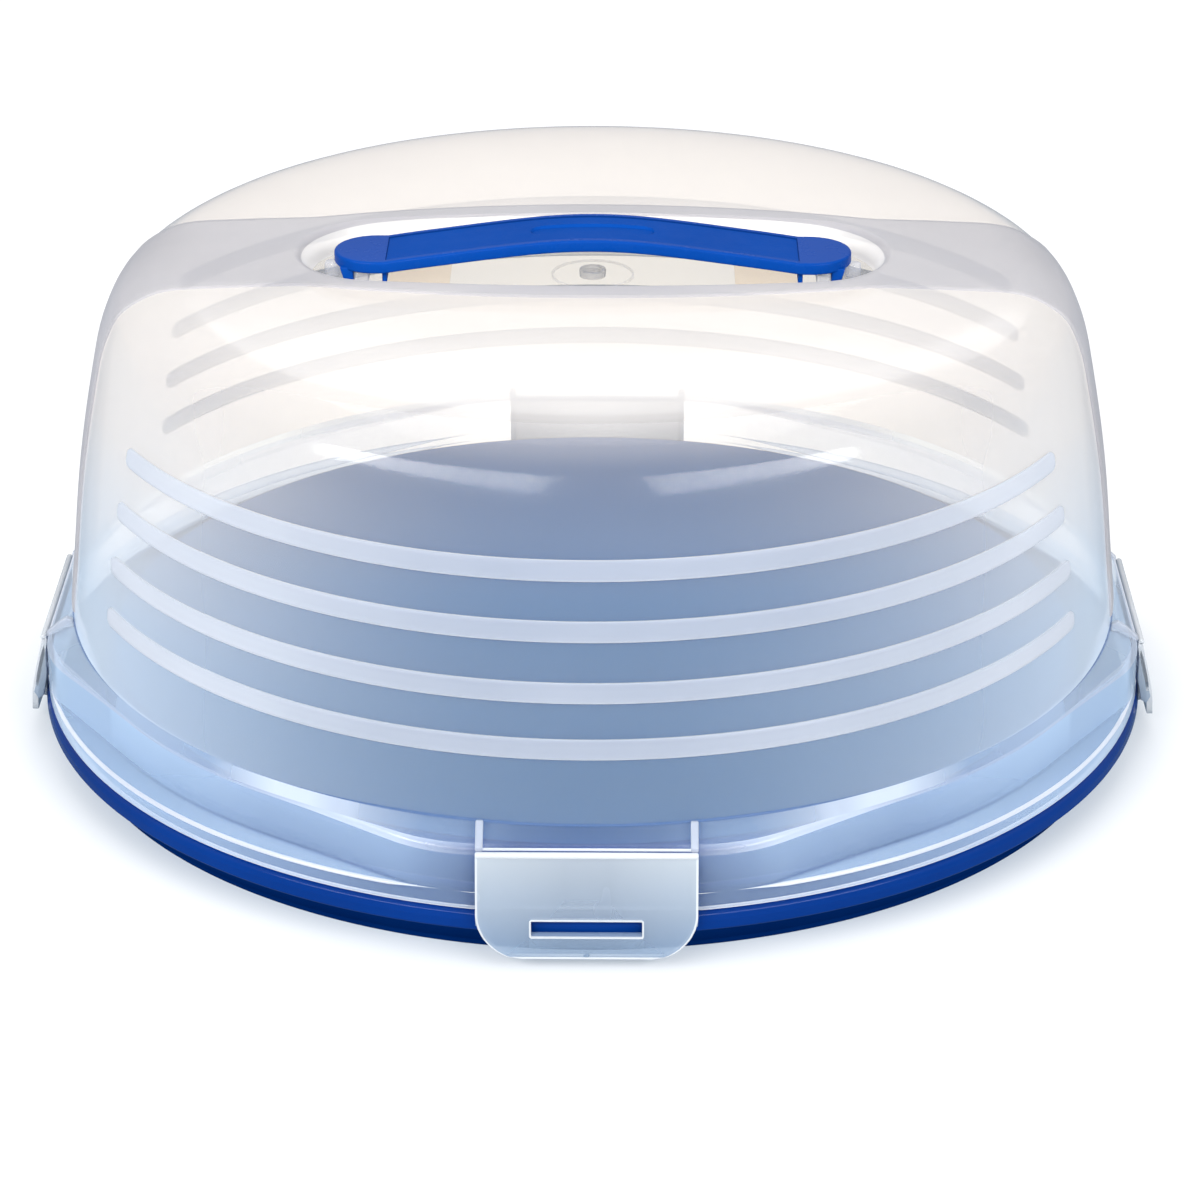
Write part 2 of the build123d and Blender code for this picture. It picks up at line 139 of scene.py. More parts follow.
def spline(pts, t0, t1, per=24):
    """Smooth curve through points with given end directions; returns points and directions."""
    p = np.array(pts, float)
    n = len(p)
    h = np.hypot(*np.diff(p, axis=0).T)
    A, B = np.zeros((n, n)), np.zeros((n, 2))
    A[0, 0] = A[-1, -1] = 1
    B[0], B[-1] = np.array(t0) / np.hypot(*t0), np.array(t1) / np.hypot(*t1)
    for i in range(1, n - 1):
        A[i, i - 1], A[i, i], A[i, i + 1] = 1 / h[i - 1], 2 * (1 / h[i - 1] + 1 / h[i]), 1 / h[i]
        B[i] = 3 * ((p[i] - p[i - 1]) / h[i - 1] ** 2 + (p[i + 1] - p[i]) / h[i] ** 2)
    m = np.linalg.solve(A, B)
    P, T = [], []
    for i in range(n - 1):
        u = np.linspace(0, 1, per + 1)[: per + (i == n - 2), None]
        a, b, ma, mb = p[i], p[i + 1], m[i] * h[i], m[i + 1] * h[i]
        P.append((2 * u**3 - 3 * u**2 + 1) * a + (u**3 - 2 * u**2 + u) * ma + (3 * u**2 - 2 * u**3) * b + (u**3 - u**2) * mb)
        T.append((6 * u**2 - 6 * u) * a + (3 * u**2 - 4 * u + 1) * ma + (6 * u - 6 * u**2) * b + (3 * u**2 - 2 * u) * mb)
    P, T = np.concatenate(P), np.concatenate(T)
    return P, T / np.hypot(*T.T)[:, None]


def rounded(corners, radii, segs=4, rest=0.25):
    """Section lines with rounded corners. corners is K x N x 2, radii has one entry, a number or N numbers, for each
    inner corner. A support point follows each rounding, so that flats shade flat."""
    c = np.asarray(corners, float)
    out = [c[0]]
    for i in range(1, len(c) - 1):
        a, p, b = c[i - 1], c[i], c[i + 1]
        da, db = a - p, b - p
        la = np.maximum(np.hypot(da[:, 0], da[:, 1]), 1e-6)[:, None]
        lb = np.maximum(np.hypot(db[:, 0], db[:, 1]), 1e-6)[:, None]
        da, db = da / la, db / lb
        half = np.arccos(np.clip((da * db).sum(1), -1, 1)) / 2
        half = np.clip(half, 0.05, pi / 2 - 1e-4)[:, None]
        R = np.broadcast_to(np.asarray(radii[i - 1], float), (c.shape[1],))[:, None]
        t = np.minimum(R / np.tan(half), 0.42 * np.minimum(la, lb))
        w = np.sin(half)
        p0, p2 = p + da * t, p + db * t
        s0, s2 = np.minimum(rest, 0.06 * la), np.minimum(rest, 0.06 * lb)
        out.append(p + da * (t + s0))
        for u in np.linspace(0, 1, segs + 1):
            w0, w1, w2 = (1 - u) ** 2, 2 * u * (1 - u) * w, u * u
            out.append((w0 * p0 + w1 * p + w2 * p2) / (w0 + w1 + w2))
        out.append(p + db * (t + s2))
    out.append(c[-1])
    return np.stack(out)


def ring(R, Z, az):
    """Rows x columns x 3 from radius and height (rows x columns) and azimuth."""
    R, Z, az = np.broadcast_arrays(R, Z, az)
    return np.stack([R * np.cos(az), R * np.sin(az), Z], -1)


def lathe(build, profile, n=96, mat=0, centre=(0, 0)):
    """Closed solid of revolution from a profile that starts and ends on the axis or is closed."""
    pr = np.array(profile, float)
    az = np.linspace(0, 2 * pi, n, endpoint=False)[None]
    P = ring(pr[:, :1], pr[:, 1:2], az)
    P[..., 0] += centre[0]
    P[..., 1] += centre[1]
    build.grid(P, mat, wrap=True)


def smooth(x, a, b):
    t = np.clip((np.asarray(x, float) - a) / (b - a), 0, 1)
    return t * t * (3 - 2 * t)


# ------------------------------------------------------------------ materials
def tree(name):
    m = bpy.data.materials.new(name)
    m.use_nodes = True
    m.node_tree.nodes.clear()
    return m, m.node_tree


def node(nt, kind, **props):
    n = nt.nodes.new(kind)
    for k, v in props.items():
        setattr(n, k, v)
    return n


def noise(nt, co, scale, detail=3.0, rough=0.5):
    n = node(nt, "ShaderNodeTexNoise")
    n.inputs["Scale"].default_value = scale
    n.inputs["Detail"].default_value = detail
    n.inputs["Roughness"].default_value = rough
    nt.links.new(co, n.inputs["Vector"])
    return n.outputs["Fac"]


def remap(nt, value, a, b, lo=0.3, hi=0.7):
    n = node(nt, "ShaderNodeMapRange")
    n.inputs["From Min"].default_value = lo
    n.inputs["From Max"].default_value = hi
    n.inputs["To Min"].default_value = a
    n.inputs["To Max"].default_value = b
    nt.links.new(value, n.inputs["Value"])
    return n.outputs["Result"]


def tint(nt, value, ca, cb, lo=0.3, hi=0.7):
    n = node(nt, "ShaderNodeValToRGB")
    n.color_ramp.elements[0].position = lo
    n.color_ramp.elements[1].position = hi
    n.color_ramp.elements[0].color = (*ca, 1)
    n.color_ramp.elements[1].color = (*cb, 1)
    nt.links.new(value, n.inputs["Fac"])
    return n.outputs["Color"]


def bump(nt, layers, strength=1.0):
    """layers is a list of (height socket, distance in metres, strength)."""
    last = None
    for height, dist, s in layers:
        b = node(nt, "ShaderNodeBump")
        b.inputs["Strength"].default_value = s * strength
        b.inputs["Distance"].default_value = dist
        nt.links.new(height, b.inputs["Height"])
        if last is not None:
            nt.links.new(last, b.inputs["Normal"])
        last = b.outputs["Normal"]
    return last


def plastic(name, dark, light, rough=(0.2, 0.3), grain=None, wave=None, spec=0.5, far=None):
    """Opaque moulded plastic: slight colour drift, uneven gloss, fine grain and faint moulding waves.

    far is the paler shade that the surface takes towards the back, where more light falls on it."""
    m, nt = tree(name)
    co = node(nt, "ShaderNodeTexCoord").outputs["Object"]
    out = node(nt, "ShaderNodeOutputMaterial")
    p = node(nt, "ShaderNodeBsdfPrincipled")
    if far:
        split = node(nt, "ShaderNodeSeparateXYZ")
        nt.links.new(co, split.inputs["Vector"])
        drift = node(nt, "ShaderNodeMath", operation="ADD")
        nt.links.new(remap(nt, split.outputs["Y"], 0.0, 1.0, -0.11, 0.12), drift.inputs[0])
        nt.links.new(remap(nt, noise(nt, co, 22, 3), -0.03, 0.03), drift.inputs[1])
        nt.links.new(tint(nt, drift.outputs["Value"], dark, far, 0.0, 1.0), p.inputs["Base Color"])
    else:
        nt.links.new(tint(nt, noise(nt, co, 22, 3), dark, light), p.inputs["Base Color"])
    nt.links.new(remap(nt, noise(nt, co, 140, 3, 0.6), *rough), p.inputs["Roughness"])
    p.inputs["IOR"].default_value = 1.49
    p.inputs["Specular IOR Level"].default_value = spec
    layers = []
    if wave:
        layers.append((noise(nt, co, wave[0], 1), wave[1], 1.0))
    if grain:
        layers.append((noise(nt, co, grain[0], 1, 0.6), grain[1], 1.0))
    if layers:
        nt.links.new(bump(nt, layers), p.inputs["Normal"])
    nt.links.new(p.outputs["BSDF"], out.inputs["Surface"])
    return m


def milky(name, colour, veil, edge, rough=(0.1, 0.18), clear=(0.97, 0.975, 0.98), wave=None, grain=None,
          spec=1.0, low=None, power=3.0, ior=1.49, streak=None,
          side=None):
    """Translucent moulded plastic: see-through with a milky veil that grows denser at a glancing view.
    veil is the least and most share of the veil seen straight on, edge what a glancing view adds. The light that
    passes takes the clear tint, the light the veil scatters takes the veil's colour. low gives a second colour for the
    lower part, painted light and shade: the tray's blue bounce light painted on the lid, painted shade on a flap;
    with it the two heights it fades between and a little more veil there. streak adds veil where the ledge runs out
    on both sides of the front and back flaps, a painted highlight streak: share, four angles in degrees from the
    flap's middle between which it swells and fades, and the heights between which it fades downward. side adds veil
    towards a flap's two sides, painted light carried along its edges: share and the two distances from its middle."""
    m, nt = tree(name)
    co = node(nt, "ShaderNodeTexCoord").outputs["Object"]
    out = node(nt, "ShaderNodeOutputMaterial")
    p = node(nt, "ShaderNodeBsdfPrincipled")
    t = node(nt, "ShaderNodeBsdfTransparent")
    t.inputs["Color"].default_value = (*clear, 1)
    drift = noise(nt, co, 14, 2, 0.55)
    col = tint(nt, drift, *colour)
    v = remap(nt, drift, veil[0], veil[1])
    if low:
        shade, z0, z1, more = low
        sep = node(nt, "ShaderNodeSeparateXYZ")
        nt.links.new(co, sep.inputs["Vector"])
        near = remap(nt, sep.outputs["Z"], 1.0, 0.0, z0 * MM, z1 * MM)
        mixc = node(nt, "ShaderNodeMix", data_type="RGBA")
        nt.links.new(near, mixc.inputs[0])
        nt.links.new(col, mixc.inputs[6])
        mixc.inputs[7].default_value = (*shade, 1)
        col = mixc.outputs[2]
        add = node(nt, "ShaderNodeMath", operation="MULTIPLY_ADD")
        nt.links.new(near, add.inputs[0])
        add.inputs[1].default_value = more
        nt.links.new(v, add.inputs[2])
        v = add.outputs[0]
    if streak:
        sep = node(nt, "ShaderNodeSeparateXYZ")
        nt.links.new(co, sep.inputs["Vector"])
        az = node(nt, "ShaderNodeMath", operation="ARCTAN2")
        nt.links.new(sep.outputs["X"], az.inputs[0])
        nt.links.new(sep.outputs["Y"], az.inputs[1])
        rel = node(nt, "ShaderNodeMath", operation="PINGPONG")
        nt.links.new(az.outputs[0], rel.inputs[0])
        rel.inputs[1].default_value = pi / 2
        a0, a1, a2, a3 = [math.radians(q) for q in streak[1:5]]
        swell = node(nt, "ShaderNodeMath", operation="MULTIPLY")
        nt.links.new(remap(nt, rel.outputs[0], 0.0, 1.0, a0, a1), swell.inputs[0])
        nt.links.new(remap(nt, rel.outputs[0], 1.0, 0.0, a2, a3), swell.inputs[1])
        high = node(nt, "ShaderNodeMath", operation="MULTIPLY")
        nt.links.new(swell.outputs[0], high.inputs[0])
        nt.links.new(remap(nt, sep.outputs["Z"], 0.0, 1.0, streak[5] * MM, streak[6] * MM), high.inputs[1])
        more = node(nt, "ShaderNodeMath", operation="MULTIPLY_ADD")
        nt.links.new(high.outputs[0], more.inputs[0])
        more.inputs[1].default_value = streak[0]
        nt.links.new(v, more.inputs[2])
        v = more.outputs[0]
    if side:
        sep = node(nt, "ShaderNodeSeparateXYZ")
        nt.links.new(co, sep.inputs["Vector"])
        ax, ay = node(nt, "ShaderNodeMath", operation="ABSOLUTE"), node(nt, "ShaderNodeMath", operation="ABSOLUTE")
        nt.links.new(sep.outputs["X"], ax.inputs[0])
        nt.links.new(sep.outputs["Y"], ay.inputs[0])
        lateral = node(nt, "ShaderNodeMath", operation="MINIMUM")
        nt.links.new(ax.outputs[0], lateral.inputs[0])
        nt.links.new(ay.outputs[0], lateral.inputs[1])
        out_add = node(nt, "ShaderNodeMath", operation="ADD")
        nt.links.new(remap(nt, lateral.outputs[0], 0.0, side[0], side[1] * MM, side[2] * MM), out_add.inputs[0])
        nt.links.new(v, out_add.inputs[1])
        v = out_add.outputs[0]
    nt.links.new(col, p.inputs["Base Color"])
    ripple = noise(nt, co, wave[0] if wave else 70, 1, 0.5)
    nt.links.new(remap(nt, ripple, *rough), p.inputs["Roughness"])
    p.inputs["IOR"].default_value = ior
    p.inputs["Specular IOR Level"].default_value = spec
    layers = []
    if wave:
        layers.append((ripple, wave[1], 1.0))
    if grain:
        layers.append((noise(nt, co, grain[0], 1, 0.6), grain[1], 1.0))
    if layers:
        nt.links.new(bump(nt, layers), p.inputs["Normal"])
    lw = node(nt, "ShaderNodeLayerWeight")
    lw.inputs["Blend"].default_value = 0.5
    steep = node(nt, "ShaderNodeMath", operation="POWER")
    nt.links.new(lw.outputs["Facing"], steep.inputs[0])
    steep.inputs[1].default_value = power
    grow = node(nt, "ShaderNodeMath", operation="MULTIPLY_ADD", use_clamp=True)
    nt.links.new(steep.outputs[0], grow.inputs[0])
    grow.inputs[1].default_value = edge
    nt.links.new(v, grow.inputs[2])
    mix = node(nt, "ShaderNodeMixShader")
    nt.links.new(grow.outputs[0], mix.inputs[0])
    nt.links.new(t.outputs["BSDF"], mix.inputs[1])
    nt.links.new(p.outputs["BSDF"], mix.inputs[2])
    nt.links.new(mix.outputs[0], out.inputs["Surface"])
    return m


# Painted blue bounce light from the tray, for the lower part of the lid's inner face.
TRAY_BOUNCE_BLUE = (0.23, 0.46, 0.71)
# Painted light on the clear dome: the cream veil and warm clear tint are painted warm light and a painted reflection of
# contents that are not modelled; the bluish part below 112 mm is painted blue bounce light from the tray.
M_CLEAR = milky("lid_clear", ((0.86, 0.81, 0.77), (0.88, 0.83, 0.79)), (0.05, 0.06), 0.92, (0.10, 0.15),
                clear=(1.0, 0.974, 0.942), wave=(45, 0.00002), low=((0.70, 0.80, 0.92), 60, 112, 0.0), power=1.15,
                ior=1.9)
# Painted light on the dome's inner face: the cream veil and warm clear tint are painted warm light and a painted
# reflection of contents that are not modelled; below 148 mm it turns to the painted blue bounce light of the tray, with
# more veil.
M_INNER = milky("lid_clear_inside", ((0.72, 0.675, 0.615), (0.75, 0.705, 0.645)), (0.075, 0.085), 0.08, (0.2, 0.28),
                clear=(1.0, 0.981, 0.953), spec=0.6, low=(TRAY_BOUNCE_BLUE, 100, 148, 0.088), power=2.0)
# The skirt's blue veil is the tray's blue painted on the lid, and its streak a faint painted highlight where the ledge
# runs out.
M_SKIRT = milky("lid_skirt_clear", ((0.54, 0.73, 0.96), (0.58, 0.765, 0.985)), (0.03, 0.04), 0.58, (0.07, 0.12),
                clear=(0.975, 0.98, 0.99), spec=0.8, wave=(45, 0.00002), power=1.1, ior=1.45,
                streak=(0.08, 7, 17, 60, 61, 20, 34))
M_FLOOR = milky("recess_floor_clear", ((0.97, 0.925, 0.85), (1.0, 0.955, 0.88)), (0.0, 0.015), 0.04, (0.2, 0.3),
                clear=(1.0, 0.98, 0.945), spec=0.5, power=1.5)
M_SATIN = milky("lid_satin", ((0.425, 0.415, 0.435), (0.47, 0.46, 0.48)), (0.60, 0.66), 0.42, (0.34, 0.42),
                clear=(0.99, 0.97, 0.97), grain=(5200, 0.00001), spec=0.4, power=2.0)
M_WALL = milky("recess_wall_satin", ((0.86, 0.84, 0.82), (0.91, 0.89, 0.87)), (0.46, 0.52), 0.30, (0.30, 0.38),
               clear=(0.99, 0.98, 0.97), grain=(5200, 0.00001), spec=0.5, power=2.0)
M_RIB = milky("lid_rib_satin", ((0.46, 0.495, 0.56), (0.50, 0.535, 0.60)), (0.42, 0.48), 0.85, (0.30, 0.38),
              clear=(0.98, 0.98, 0.98), grain=(5200, 0.00001), spec=0.5, power=1.0)
M_BURIED = milky("lid_rib_base", ((0.85, 0.85, 0.86), (0.88, 0.88, 0.89)), (0.0, 0.01), 0.02, (0.3, 0.4),
                 clear=(0.995, 0.995, 0.995), spec=0.2)
# Whiter rim edges: partly the milky plastic seen edge-on through its thickness, partly painted highlight lines.
M_EDGE = milky("lid_edge_detail", ((0.74, 0.78, 0.85), (0.80, 0.83, 0.89)), (0.50, 0.60), 0.45, (0.10, 0.16),
               clear=(0.97, 0.975, 0.985), spec=1.0)
# Painted highlight streaks on the ledge slope and on its outer edge, where the ledge runs out beside the front and back
# flaps.
M_STREAK = milky("lid_ledge_slope_painted_highlight", ((0.72, 0.80, 0.90), (0.77, 0.85, 0.94)), (0.0, 0.01), 0.42, (0.26, 0.34),
                 clear=(0.92, 0.965, 0.99), spec=0.2, power=1.1, ior=1.45, streak=(0.44, 16, 29, 33, 42, 10, 11))
M_LIP = milky("lid_ledge_edge_painted_highlight", ((0.68, 0.78, 0.93), (0.74, 0.83, 0.96)), (0.02, 0.04), 0.62, (0.18, 0.26),
              clear=(0.975, 0.98, 0.99), power=1.1, streak=(0.36, 8, 18, 28, 42, 30.0, 32.6))
M_FIN = milky("lid_fin", ((0.50, 0.54, 0.62), (0.56, 0.60, 0.67)), (0.46, 0.56), 0.45, (0.12, 0.18),
              clear=(0.97, 0.975, 0.985), spec=1.0)
M_LUG = milky("recess_lug", ((0.72, 0.74, 0.80), (0.80, 0.81, 0.85)), (0.22, 0.30), 0.5, (0.10, 0.16),
              clear=(0.97, 0.975, 0.985), spec=1.0)
# Painted shade: a dark blue line in the crease between the dome wall and the ledge.
M_CREASE_SHADE = milky("lid_crease_painted_shade", ((0.10, 0.18, 0.40), (0.14, 0.22, 0.44)), (0.30, 0.36), 0.3, (0.2, 0.3),
                 clear=(0.94, 0.95, 0.98), spec=0.3)
# Flap plastic with painted light and shade: darker and bluer towards the bottom is painted shade, the extra veil
# towards its two sides painted light carried along the edges.
M_CLIP = milky("clip_milky", ((0.44, 0.495, 0.545), (0.455, 0.51, 0.56)), (0.465, 0.475), 0.40, (0.26, 0.275),
               clear=(0.955, 0.97, 0.985), grain=(3000, 0.000004), spec=0.5,
               low=((0.20, 0.29, 0.42), 4, 31, -0.08), power=1.2, side=(0.20, 6, 30))
M_CLIP_EDGE = milky("clip_edge", ((0.64, 0.675, 0.71), (0.68, 0.71, 0.74)), (0.62, 0.70), 0.30, (0.14, 0.20),
                    clear=(0.97, 0.975, 0.985), spec=0.8)
# Painted shade: the slot's sill is dark blue where shade falls below the slot.
M_SILL_SHADE = milky("slot_sill_painted_shade", ((0.12, 0.18, 0.30), (0.15, 0.21, 0.33)), (0.72, 0.78), 0.2, (0.2, 0.3),
               clear=(0.9, 0.93, 0.97), spec=0.4)
M_PAD = milky("recess_pad", ((0.92, 0.80, 0.67), (0.95, 0.84, 0.71)), (0.02, 0.04), 0.04, (0.3, 0.4),
              clear=(1.0, 0.955, 0.90), spec=0.3)
M_GATE = milky("gate_mark", ((0.42, 0.42, 0.43), (0.52, 0.52, 0.52)), (0.30, 0.38), 0.3, (0.2, 0.3),
               clear=(0.92, 0.92, 0.92), spec=0.8)
M_FAINT = milky("recess_ring", ((0.70, 0.70, 0.72), (0.76, 0.76, 0.77)), (0.08, 0.12), 0.15, (0.2, 0.3),
                clear=(0.965, 0.965, 0.965), spec=0.5)
M_TRAY = plastic("tray_blue", (0.0004, 0.022, 0.148), (0.0006, 0.027, 0.176), (0.16, 0.19), wave=(40, 0.00002),
                 spec=0.14)
# Painted light: the deck's top is a lighter copy of the tray blue, paler still towards the back where more light falls.
M_DECK_LIT = plastic("tray_blue_deck_painted_light", (0.006, 0.062, 0.240), (0.007, 0.064, 0.245), (0.18, 0.22), wave=(40, 0.00002),
                 spec=0.14, far=(0.018, 0.104, 0.335))
# Painted shade: the tray's lower slope and underside are a darker copy of the tray blue.
M_UNDER_SHADE = plastic("tray_blue_underside_painted_shade", (0.0003, 0.0125, 0.079), (0.0005, 0.0160, 0.095), (0.45, 0.55),
                  grain=(1800, 0.000002), wave=(40, 0.00002), spec=0.0)
M_STRAP = plastic("handle_blue_smooth", (0.0008, 0.045, 0.268), (0.0012, 0.052, 0.305), (0.22, 0.30),
                  grain=(3600, 0.000006), wave=(60, 0.00002), spec=0.06)
M_PANEL = plastic("handle_blue_grain", (0.0008, 0.047, 0.272), (0.0012, 0.055, 0.31), (0.46, 0.56),
                  grain=(2400, 0.00006), wave=(60, 0.00002), spec=0.03)
# Painted shade: a darker blue on the step faces between the handle's grained panel and its smooth edges.
M_STEP_SHADE = plastic("handle_blue_step_painted_shade", (0.0005, 0.024, 0.150), (0.0008, 0.029, 0.175), (0.40, 0.50), spec=0.02)

# ------------------------------------------------------------------ lid: dome surface
dome_p, dome_t = spline(DOME, (-0.09, 1), (-1, 0))
dome_n = np.stack([dome_t[:, 1], -dome_t[:, 0]], -1)
dome_s = np.concatenate([[0], np.cumsum(np.hypot(*np.diff(dome_p, axis=0).T))])


def s_of_z(z):
    return np.interp(z, dome_p[:, 1], dome_s)


def s_of_r(r):
    return np.interp(-np.asarray(r, float), -dome_p[:, 0], dome_s)


def dome_at(s):
    """Radius, height and outward normal at a length along the profile."""
    return [np.interp(s, dome_s, a) for a in (dome_p[:, 0], dome_p[:, 1], dome_n[:, 0], dome_n[:, 1])]


def dome_z(r):
    return dome_at(s_of_r(r))[1]


RB = ((BX**2) + (BM - BH) ** 2) / (2 * (BM - BH))
YC = BM - RB


def band_phi(r):
    """Azimuth of the band's edge on a ring of radius r."""
    r = np.asarray(r, float)
    y = np.where(r >= math.hypot(BX, BH), BH, (r**2 + YC**2 - RB**2) / (2 * YC))
    return np.arcsin(np.clip(y / r, -1, 1))


def band_inside(x, y):
    """Distance inside the band's edge."""
    x, y = np.abs(x), np.abs(y)
    return np.where(x >= BX, BH - y, RB - np.hypot(x, y - YC))


def step_up(u):
    return np.interp(u, [0, 0.12, 0.35, 0.8], [0, 0.5, 0.82, 1.0])


def skirt_radius(az, off):
    """Polar radius of the skirt outline, inset by off."""
    a = math.radians(BOSS_ANGLE)
    f, r, c = BOSS_FLAT - off, BOSS_R - off, BOSS_CORNER - off
    xc = (r - math.cos(a) * f) / math.sin(a)
    t = c * math.tan(a / 2)
    lat, fwd = [0.0], [f]
    for b in np.linspace(0, a, 24):
        lat.append(xc - t + c * math.sin(b))
        fwd.append(f - c + c * math.cos(b))
    for k in np.linspace(0, 1, 24)[1:]:
        lat.append((1 - k) * (xc + t * math.cos(a)) + k * r * math.sin(a))
        fwd.append((1 - k) * (f - t * math.sin(a)) + k * r * math.cos(a))
    lat, fwd = np.array(lat), np.array(fwd)
    flat = np.linspace(0, lat[1], 24)[:-1]
    lat, fwd = np.concatenate([flat, lat[1:]]), np.concatenate([np.full(len(flat), f), fwd[1:]])
    ang, rad = np.arctan2(lat, fwd), np.hypot(lat, fwd)
    ang, rad = np.append(ang, pi / 4), np.append(rad, r)
    rel = np.abs((np.asarray(az) + pi / 4) % (pi / 2) - pi / 4)
    return np.interp(rel, ang, rad)


def rim_radius(az, off):
    rel = np.abs((np.asarray(az) + pi / 4) % (pi / 2) - pi / 4)
    return np.minimum(RIM_R - off, (FLAT_RIM - off) / np.cos(rel))


def lens(d, az):
    """Polar radius of the recess outline grown by d, at an azimuth."""
    d, az = np.broadcast_arrays(np.asarray(d, float), np.asarray(az, float))
    yc = LENS_R - LENS_W
    cx = (yc * yc - (LENS_R - LENS_L) ** 2) / (2 * (LENS_R - LENS_L))
    rho = LENS_L - cx
    R, q = LENS_R + d, rho + d
    dist = math.hypot(cx, yc)
    tx, ty = R * cx / dist, R * yc / dist - yc
    lim = np.arctan2(ty, tx)
    a = np.abs(np.arctan2(np.sin(az), np.abs(np.cos(az))))
    long_side = -yc * np.sin(a) + np.sqrt(np.maximum((yc * np.sin(a)) ** 2 - yc * yc + R * R, 0))
    end = cx * np.cos(a) + np.sqrt(np.maximum(q * q - (cx * np.sin(a)) ** 2, 0))
    return np.where(a < lim, end, long_side)


def make_lid():
    b = Build()
    z_rows = [39.7, 41.0, 41.12, 41.35, 41.8, 43, 45.5, 48.5, 52, 56, 60, 64.5, 69, 73.5, 78, 82.5, 87, 91.5, 96,
              100, 104, 108, 111.5, 115, 118, 120.7, 123.2, 125.5, 127.6, 129.6, 131.5, 133.3, 135, 136.6, 138.1,
              139.5, 140.8, 141.9]
    r_rows = [133.6, 131.2, 128.5, 125.5, 122, 118, 114, 110, 107, 104]
    s = np.concatenate([s_of_z(z_rows), s_of_r(r_rows)])
    r, z, nr, nz = [a[:, None] for a in dome_at(s)]

    edge_y = np.array([30, 29.88, 29.65, 29.2])
    yb = np.concatenate([-edge_y, np.linspace(-29.2, 29.2, 25)[1:-1], edge_y[::-1]])       # 31 columns
    r_ref = float(dome_at(s_of_z(41.0))[0])
    p_ref = float(band_phi(r_ref))
    t = np.linspace(0, 1, 161)
    corner = math.acos(FLAT_RIM / RIM_R)
    for k, sgn in ((69, -1), (91, 1)):
        t[k] = (pi / 2 + sgn * corner - p_ref) / (pi - 2 * p_ref)

    def columns(rr):
        rr = np.atleast_1d(rr)[:, None]
        side = np.arcsin(yb[None] / rr)
        pb = band_phi(rr)
        back = pb + (pi - 2 * pb) * t[None, 1:-1]
        return np.concatenate([side, back, pi + side, pi + back], 1)

    az_ref = columns(r_ref)[0]                        # 380 columns
    az = columns(r[:, 0])
    az[:2] = az_ref
    in_band = np.zeros(380)
    in_band[:31] = in_band[190:221] = step_up(30 - np.abs(yb))
    lift = BAND_PROUD * in_band[None] * step_up(np.clip(z - BAND_Z0, 0, 9))
    P = ring(r + lift * nr, z + lift * nz, az)
    cell_band = np.zeros(380, int)
    cell_band[:30] = cell_band[190:220] = 1
    mat = np.where(np.arange(len(s) - 1)[:, None] >= 1, cell_band[None], 0)
    b.grid(P, mat, wrap=True)
    top = P[-1]

    # clear top surface in front of and behind the band
    xj = np.linspace(math.sqrt(104.0**2 - BH**2), 0, 24)
    yj = np.where(xj >= BX, BH, YC + np.sqrt(RB**2 - np.minimum(xj, BX) ** 2))
    rj = np.hypot(xj, yj)
    sj = s_of_r(rj)
    r2, z2, _, _ = [a[:, None] for a in dome_at(sj)]
    pb = np.arcsin(yj / rj)[:, None]
    a2 = pb + (pi - 2 * pb) * t[None]
    Q = ring(r2, z2, a2)
    Q[0] = np.concatenate([top[30:190], top[190:191]])
    b.grid(Q, 0)
    Q2 = ring(r2, z2, a2 + pi)
    Q2[0] = np.concatenate([top[220:380], top[:1]])
    b.grid(Q2, 0)

    # band around the grip recess, its lip, walls and floor
    loop = np.concatenate([top[:31], Q[1:, 0], Q[:-1, -1][::-1][:-1], top[190:221], Q2[1:, 0], Q2[:-1, -1][::-1][:-1]])
    az_l = np.arctan2(loop[:, 1], loop[:, 0])
    x_lip = np.abs(lens(0, az_l) * np.cos(az_l))
    lip = 1.7 + 3.8 * smooth(x_lip, 52, 84)
    reach = lip * math.tan(math.radians(33.3)) + 0.8
    inner = ring(lens(reach, az_l), 0, az_l)
    flat = loop.copy()
    flat[:, 2] = 0
    gap = np.hypot(*(inner - flat)[:, :2].T)
    rows = []
    for i, w in enumerate([0.12, 0.35, 0.8, 0.2, 0.4, 0.6, 0.8, 1.0]):
        f = (w / gap if i < 3 else np.maximum(0.8 / gap, 0) + (1 - 0.8 / gap) * w)[:, None]
        p = flat + (inner - flat) * f
        rad = np.hypot(p[:, 0], p[:, 1])
        p[:, 2] = dome_z(rad) + BAND_PROUD * step_up(band_inside(p[:, 0], p[:, 1]))
        rows.append(p)
    G = np.stack([loop] + rows)
    b.grid(G, 1, wrap=True)
    zs = dome_z(lens(0, az_l)) + BAND_PROUD
    n = len(az_l)
    one = np.ones(n)
    sec = rounded([np.stack([reach, G[-1][:, 2]], -1), np.stack([0 * one, zs], -1),
                   np.stack([-DRAFT * one, FLOOR_Z * one], -1), np.stack([(-DRAFT - 5) * one, FLOOR_Z * one], -1)],
                  [lip, 1.6], segs=7, rest=0.3)
    W = ring(lens(sec[..., 0], az_l[None]), sec[..., 1], az_l[None])
    W[0] = G[-1]
    k_floor = len(W) - 2
    row = np.arange(len(W) - 1)[:, None]
    mat = np.where(row < 9, 1, np.where(row < k_floor - 4, 6, 3))
    b.grid(W, np.broadcast_to(mat, (len(W) - 1, n)), wrap=True)
    F = np.stack([W[-1] * [f, f, 1] for f in (1, 0.75, 0.5, 0.25, 0)])
    b.grid(F, 3, wrap=True)

